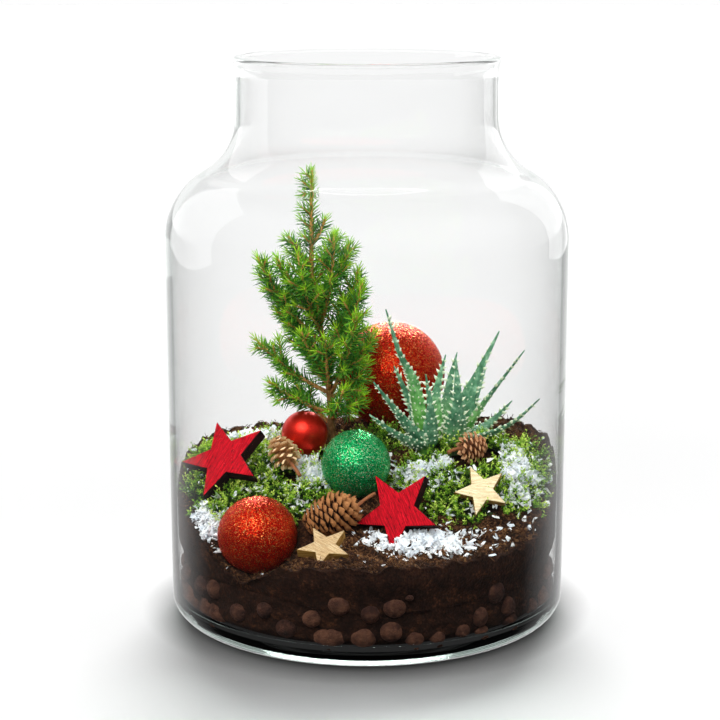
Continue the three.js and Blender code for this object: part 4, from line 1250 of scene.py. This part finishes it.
for (name, (foot, tip, radius, stalk)), count in zip(CONES.items(), (54, 128, 60)):
    foot, tip, stalk = Vector(foot), Vector(tip), Vector(stalk)
    scales = set_out(scale_shape, CONE_FINISHES[name], cone_seats(foot, tip, radius, count))
    steps = [k / 8 for k in range(9)]
    core_line = [foot.lerp(tip, t) for t in steps]
    core = mesh_from("core", *tube(core_line, lambda t: 0.5 * radius * egg(t), 10), CONE_FINISHES[name])
    stem_line = [stalk.lerp(foot, 1.15 * t) + Vector((0, 0, 0.8 * math.sin(3 * t))) for t in steps]
    stem = mesh_from("stem", *tube(stem_line, lambda t: 0.85 + 0.25 * abs(2 * t - 1), 8),
                     CONE_FINISHES["cone_right"])
    for part, tipward in ((core, 0.35), (stem, 0.55)):
        attribute(part, "shade", 0.4)
        attribute(part, "tipward", tipward)
    place(name + "_scales", joined(name, scales, core, stem), "cone_scales", name)

# %% [markdown]
# ## Dwarf spruce
#
# A young dwarf spruce grows as a straight stem with upswept shoots. Each shoot carries short side
# twigs that point forward, and every twig is set all round with stiff needles of six to eight
# millimetres, one after another on a spiral. At the tips the needles fold forward round the bud and
# are lime green. The wood is swept along curves. The needles are one slim shape set along the same
# curves by the twig tree, so no needle is placed by hand.

# %% Curves of the stem and the shoots
def spline(points, steps):
    """Points of a centripetal Catmull-Rom curve through the given points."""
    points = [Vector(p) for p in points]
    points = [2 * points[0] - points[1]] + points + [2 * points[-1] - points[-2]]
    line = []
    for i in range(steps + 1):
        p = (len(points) - 3) * i / steps
        k = min(int(p), len(points) - 4)
        w = p - k
        a, b, c, d = points[k:k + 4]
        ab, bc, cd = (math.sqrt((v - u).length) for u, v in ((a, b), (b, c), (c, d)))
        leave = ((b - a) / ab - (c - a) / (ab + bc) + (c - b) / bc) * bc
        arrive = ((c - b) / bc - (d - b) / (bc + cd) + (d - c) / cd) * bc
        bend, twist = 3 * (c - b) - 2 * leave - arrive, 2 * (b - c) + leave + arrive
        line.append(b + leave * w + bend * w ** 2 + twist * w ** 3)
    return line


TRUNK = spline([TRUNK_FOOT, (-19.1, 15, 108), (-25, 14.5, 150), (-28.2, 14, 171)], 60)
LEADER_TIP = Vector((-27.8, 13, 221))
SHOOTS = [  # height on the stem, then the tip
    (186, (-21, 13.5, 199)), (175, (-39.5, 11, 190)), (163, (-16.5, 24, 190)), (152, (-9, 19, 185)),
    (148, (-46, 20, 177)), (143, (-16.5, 7, 191)), (139, (-34.5, 0, 183)), (136, (-31, 33, 173)),
    (133, (-55, 8, 179)), (130, (-4.5, 21, 171)), (126, (-50, 19, 162)), (122, (-2.5, 9, 166)),
    (120, (-14, 35, 154)), (116, (-33, -1, 143)), (114, (4, 18, 139)), (112, (-41, 35, 147)),
    (110, (-21, -4, 140)), (107, (-57, 11, 137)), (106, (-5, -1, 152)), (103, (0.5, 12, 124)),
    (100, (-22, 37, 128)), (97, (-50, 5, 116)), (94, (-2, 9, 109)), (92, (-12, -1, 113)),
    (90, (-38, 34, 109)),
]


def stem_at(z):
    """The middle of the stem at a height, and its radius there."""
    top = TRUNK[-1]
    if z > top.z:
        return top.lerp(LEADER_TIP, (z - top.z) / (LEADER_TIP.z - top.z)), 1.25
    k = next(i for i, p in enumerate(TRUNK) if p.z >= z)
    return TRUNK[k], 2.5 - 1.2 * k / (len(TRUNK) - 1)


def shoot_line(z, tip, steps=14):
    """A shoot leaves the stem outwards and sweeps up to its tip."""
    tip = Vector(tip)
    seat, stem_radius = stem_at(z)
    outward = Vector((tip.x - seat.x, tip.y - seat.y, 0)).normalized()
    root = seat + outward * 0.5 * stem_radius
    length = (tip - root).length
    elbow = root.lerp(tip, 0.45) + outward * 0.1 * length - Vector((0, 0, 0.05 * length))
    run = [i / steps for i in range(steps + 1)]
    return [root * (1 - t) ** 2 + elbow * 2 * t * (1 - t) + tip * t ** 2 for t in run]


# %% Side twigs
def side_twigs(line, pace, longest, seed):
    """Short twigs left and right of a shoot, pointing forward and a little up, shorter near its tip."""
    chance = np.random.default_rng(seed)
    lengths = [(b - a).length for a, b in zip(line, line[1:])]
    total, run, due, left, twigs = sum(lengths), 0.0, 0.28 * sum(lengths), 1, []
    for a, b, step in zip(line, line[1:], lengths):
        run += step
        while run > due and due < total - 4:
            seat = b.lerp(a, (run - due) / step)
            ahead = (b - a).normalized()
            side = ahead.cross(Vector((0, 0, 1))).normalized() * left
            if side.length < 0.5:
                side = Vector((left, 0, 0))
            up = side.cross(ahead) * left
            out = Quaternion(ahead, chance.uniform(-0.9, 0.9)) @ side
            reach = min(longest, 0.5 * (total - due) + 2.5) * chance.uniform(0.75, 1.0)
            heading = (ahead * 0.75 + out).normalized()
            end = seat + heading * reach + (ahead + abs(up.z) * Vector((0, 0, 1))) * 0.12 * reach
            twigs.append([seat.lerp(end, t) for t in (0.0, 0.35, 0.7, 1.0)])
            due += pace * chance.uniform(0.8, 1.2)
            left = -left
    return twigs


leader_line = [TRUNK[-1].lerp(LEADER_TIP, i / 14) for i in range(15)]
shoots = [shoot_line(z, tip) for z, tip in SHOOTS]
twigs = side_twigs(leader_line, 4.0, 8.0, 50) + side_twigs(TRUNK[28:], 3.5, 13.0, 51)
for i, line in enumerate(shoots):
    twigs += side_twigs(line, 3.8, 12.0, 100 + i)
twigs = [t for t in twigs if clearance(*t[-1]) > 5 and math.hypot(t[-1].x, t[-1].y) < 85]
print(len(shoots), "shoots and", len(twigs), "side twigs")

# %% Spruce bark
spruce_bark, tree = new_material("spruce_bark")
stretched = add(tree, "ShaderNodeMapping", {0: spot_on(tree), "Scale": (1.0, 1.0, 0.5)})
scaly = clouds(tree, 1.2, 4.0, 0.65, stretched)
young = ramp(tree, scaly, (0.3, "#a86c34"), (0.55, "#d89c58"), (0.75, "#f0c27e"))
old = ramp(tree, scaly, (0.3, "#2c1d12"), (0.55, "#5c4029"), (0.75, "#85623f"))
coat(tree, blend(tree, own(tree, "age"), young, old), 0.85, 0.25, (scaly, 0.8, 0.4))

# %% Sweeping the wood
def wood(line, radius_at, sides, old_at):
    mesh = mesh_from("wood", *tube(line, radius_at, sides), spruce_bark)
    attribute(mesh, "age", [old_at(k / (len(line) - 1)) for k in range(len(line)) for _ in range(sides)])
    return mesh


sticks = [wood(TRUNK, lambda t: 2.2 - 1.15 * t + 0.12 * math.sin(40 * t), 14, lambda t: 1 - 0.75 * t)]
sticks.append(wood(leader_line, lambda t: 1.3 - 0.7 * t, 10, lambda t: 0.2 * (1 - t)))
sticks += [wood(line, lambda t: 1.15 - 0.55 * t, 7, lambda t: 0.5 * (1 - t) ** 2) for line in shoots]
sticks += [wood(line, lambda t: 0.7 - 0.25 * t, 5, lambda t: 0.15) for line in twigs]
place("spruce_wood", joined("spruce_wood", *sticks), "spruce_bark", "spruce_trunk")

# %% Needle finish
spruce_needle, tree = new_material("spruce_needle")
green = ramp(tree, own(tree), (0.0, "#0f4218"), (0.5, "#34801e"), (1.0, "#74b826"))
fresh = ramp(tree, own(tree), (0.0, "#86c810"), (1.0, "#c8ec28"))
leafy = blend(tree, rescale(tree, own(tree, "growth"), 0.76, 1.0), green, fresh)
paler = calc(tree, "MULTIPLY", own(tree, "tipward"), 0.15)
coat(tree, blend(tree, paler, leafy, linear("#7cc04a")), 0.5, 0.4)


# %% Setting the needles
def line_mesh(lines, growth_from):
    """Lines as edges, each point with its growth: from a start at the foot to 1 at the tip."""
    points, edges, growth = [], [], []
    for line, start in zip(lines, growth_from):
        first = len(points)
        points += [tuple(p * MM) for p in line]
        edges += [(first + i, first + i + 1) for i in range(len(line) - 1)]
        growth += [start + (1 - start) * i / (len(line) - 1) for i in range(len(line))]
    mesh = bpy.data.meshes.new("lines")
    mesh.from_pydata(points, edges, [])
    attribute(mesh, "growth", growth)
    return mesh


def in_the_way(x, y, z):
    spoiled = z < np.vectorize(moss_height)(x, y) + 1
    for (cx, cy, cz), radius in BAUBLES.values():
        spoiled |= (x - cx) ** 2 + (y - cy) ** 2 + (z - cz) ** 2 < (radius + 0.3) ** 2
    return spoiled


needle = thorn("needle", ((0.0, 0.16, 0.0), (1.6, 0.33, 0.12), (5.2, 0.27, 0.1)), 3, (-0.15, 0, 7.2))
needle_lines = [TRUNK[22:]] + [line[2:] for line in shoots] + [leader_line] + twigs
starts = [-1.0] + [0.0] * len(shoots) + [0.5] + [0.5] * len(twigs)
needles = grow(along_twig, line_mesh(needle_lines, starts), shape=needle, spacing=0.3 * MM, seed=4,
               finish=spruce_needle)
needles = thin_out(needles, len(needle.data.vertices), in_the_way)
shoot_nodes = [f"spruce_shoot_{i + 1:02d}" for i in range(len(SHOOTS))]
place("spruce_needles", needles, "spruce_needles", "spruce_leader", *shoot_nodes)

# %% [markdown]
# ## Aloe
#
# Two rosettes of a toothed aloe. Each leaf is thick and tapering, nearly flat inside and round on the
# back, grey-green with a waxy bloom and bright green where it is young and pale at its base. Cream
# teeth stand along both margins every two to three millimetres, and rows of small cream warts
# cross the back. The leaf is a section swept along its curve. One tooth shape is set on listed points.

# %% Leaves
ALOES = {  # the curve after the heart, the widest width, and how fresh and green the base still is
    "aloe_left": [
        (((29, 2, 88), (23.2, -1, 118.9), (16.7, -3, 132.3), (9.5, -4, 155)), 9, 0.95),
        (((31.5, -1, 86), (32.2, -4, 98), (31.7, -6, 107), (29.5, -5, 122)), 8, 0.1),
        (((27.7, 0, 87), (20, -4, 97), (13.3, -7, 106), (3.3, -9, 119)), 10, 0.15),
        (((26, 0, 85), (20, -6, 89), (12.5, -10, 94), (1.2, -12, 103)), 11, 0.0),
        (((30, 6, 87), (25, 12, 98), (20, 15, 108), (14, 14, 122)), 9, 0.5),
        (((33, 5, 88), (34.5, 9, 103), (36.5, 12, 113), (40.3, 14, 128)), 9, 0.9),
    ],
    "aloe_right": [
        (((44.5, 6, 86), (45.5, 1, 98), (46, -1, 108), (45, 1, 128)), 12, 0.45),
        (((47, 11, 88), (53, 15, 108), (58, 17, 119), (68, 18, 139.5)), 11, 0.35),
        (((48, 9, 87), (57, 8, 101), (65, 7, 112), (80, 6, 132)), 9, 1.0),
        (((49, 8, 85), (62, 5, 89), (75, 3, 96), (88, 3, 107.5)), 9, 0.2),
        (((48.5, 13, 85), (60, 20, 88), (68, 24, 93), (76, 26, 101)), 8, 0.1),
        (((44, 14, 87), (42, 22, 100), (43, 26, 110), (47, 29, 126)), 9, 0.8),
        (((47, 15, 87), (54, 26, 97), (58, 33, 104), (63, 39, 116)), 8, 0.4),
    ],
}
LEAF_STEPS = 40
TWIST = 11  # a leaf turns its broad side a little to the front or the back, away from the heart
LEAF_SIDES = 16


def leaf_frames(heart, points, wide):
    """For each step along a leaf: its middle, tangent, across and inner directions, and half-width."""
    line = spline([heart + Vector((0, 0, 3))] + [Vector(p) for p in points], LEAF_STEPS)
    back = heart[1] - points[2][1]
    inward = Vector((heart[0] - points[2][0], back + math.copysign(TWIST, back), 22)).normalized()
    frames = []
    for k, middle in enumerate(line):
        t = k / LEAF_STEPS
        tangent = (line[min(k + 1, LEAF_STEPS)] - line[max(k - 1, 0)]).normalized()
        across = tangent.cross(inward).normalized()
        inner = across.cross(tangent)
        taper = (0.68 + 0.32 * math.sin(math.pi * min(1, 1.6 * t))) * (1 - t ** 2.2) + 0.05
        frames.append((middle, tangent, across, inner, 0.56 * wide * taper))
    return frames


def leaf_point(frame_at, angle):
    """A point of the section: 0 and pi are the margins, pi/2 the inner face, 3pi/2 the back."""
    middle, _, across, inner, half = frame_at
    thick = (0.5 * half + 0.4) * (0.25 if math.sin(angle) > 0 else 1.0)
    return middle + across * half * math.cos(angle) + inner * thick * math.sin(angle)


# %% Aloe finish
aloe_skin, tree = new_material("waxy_aloe_leaf")
mottle = clouds(tree, 3.5, 4.0, 0.6)
bloom = ramp(tree, mottle, (0.3, "#2a5c40"), (0.52, "#548c68"), (0.7, "#9cc2a4"))
young = ramp(tree, mottle, (0.3, "#48a02a"), (0.7, "#93d64a"))
base_green = rescale(tree, own(tree, "growth"), 0.12, 0.52, 1.0, 0.0)
coat(tree, blend(tree, base_green, bloom, young), 0.42, 0.45, (mottle, 0.25, 0.4))

aloe_tooth, tree = new_material("cream_aloe_tooth")
coat(tree, ramp(tree, own(tree, "tipward"), (0.0, "#b4cc9c"), (0.3, "#eef4dc"), (1.0, "#fbfae8")), 0.45, 0.4)


# %% Teeth, and the leaves
def leaf_mesh(frames, fresh):
    angles = [2 * math.pi * i / LEAF_SIDES for i in range(LEAF_SIDES)]
    points = [leaf_point(frame_at, a) for frame_at in frames for a in angles]
    mesh = mesh_from("leaf", points, sleeve(len(frames), LEAF_SIDES), aloe_skin)
    growth = [(1 - fresh) * 0.35 + (0.65 + 0.1 * fresh) * k / LEAF_STEPS for k in range(LEAF_STEPS + 1)]
    attribute(mesh, "growth", np.repeat(growth, LEAF_SIDES))
    return mesh


def tooth_seats(frames):
    """Teeth along both margins, and crossing rows of warts on the back, each pointing out and to the tip."""
    seats = []
    run, due = 0.0, 7.0
    for k in range(1, LEAF_STEPS - 1):
        middle, tangent, _, _, half = frames[k]
        run += (middle - frames[k - 1][0]).length
        if run < due:
            continue
        due = run + luck.uniform(2.0, 3.1)
        row = [(angle + luck.uniform(-0.25, 0.25), 1.2) for angle in (0.0, math.pi) if luck.random() < 0.9]
        count = max(1, round(half * 1.05))
        row += [(math.pi * (1 + (i + 0.5 + luck.uniform(-0.25, 0.25)) / count), 0.78) for i in range(count)]
        if half > 2.2:
            row += [(math.pi * luck.uniform(0.25, 0.75), 0.6)]
        for angle, size in row:
            at = leaf_point(frames[k], angle)
            ahead = ((at - middle).normalized() + tangent * 0.45).normalized()
            at = at + tangent * luck.uniform(-0.4, 0.4)
            seats.append((at, upright(ahead, tangent), (size * luck.uniform(0.65, 1.25),) * 3))
    return seats


tooth = thorn("tooth", ((-0.3, 0.78, 0.0), (0.45, 0.56, 0.05), (1.1, 0.26, 0.2)), 5, (0.42, 0, 1.7),
              flat=0.8, smooth=True)
for name, leaves in ALOES.items():
    heart = Vector(ALOE_HEARTS[name])
    seats, parts = [], []
    for points, wide, fresh in leaves:
        frames = leaf_frames(heart, points, wide)
        parts.append(leaf_mesh(frames, fresh))
        seats += tooth_seats(frames)
    stem_line = [heart + Vector((0, 0, -16 + 23 * i / 8)) for i in range(9)]
    stem = mesh_from("stem", *tube(stem_line, lambda t: 3.1 + 1.6 * t, 14), aloe_skin)
    attribute(stem, "growth", 0.2)
    place(name + "_rosette", joined(name, *parts, stem, set_out(tooth, aloe_tooth, seats)), "aloe_leaf", name)
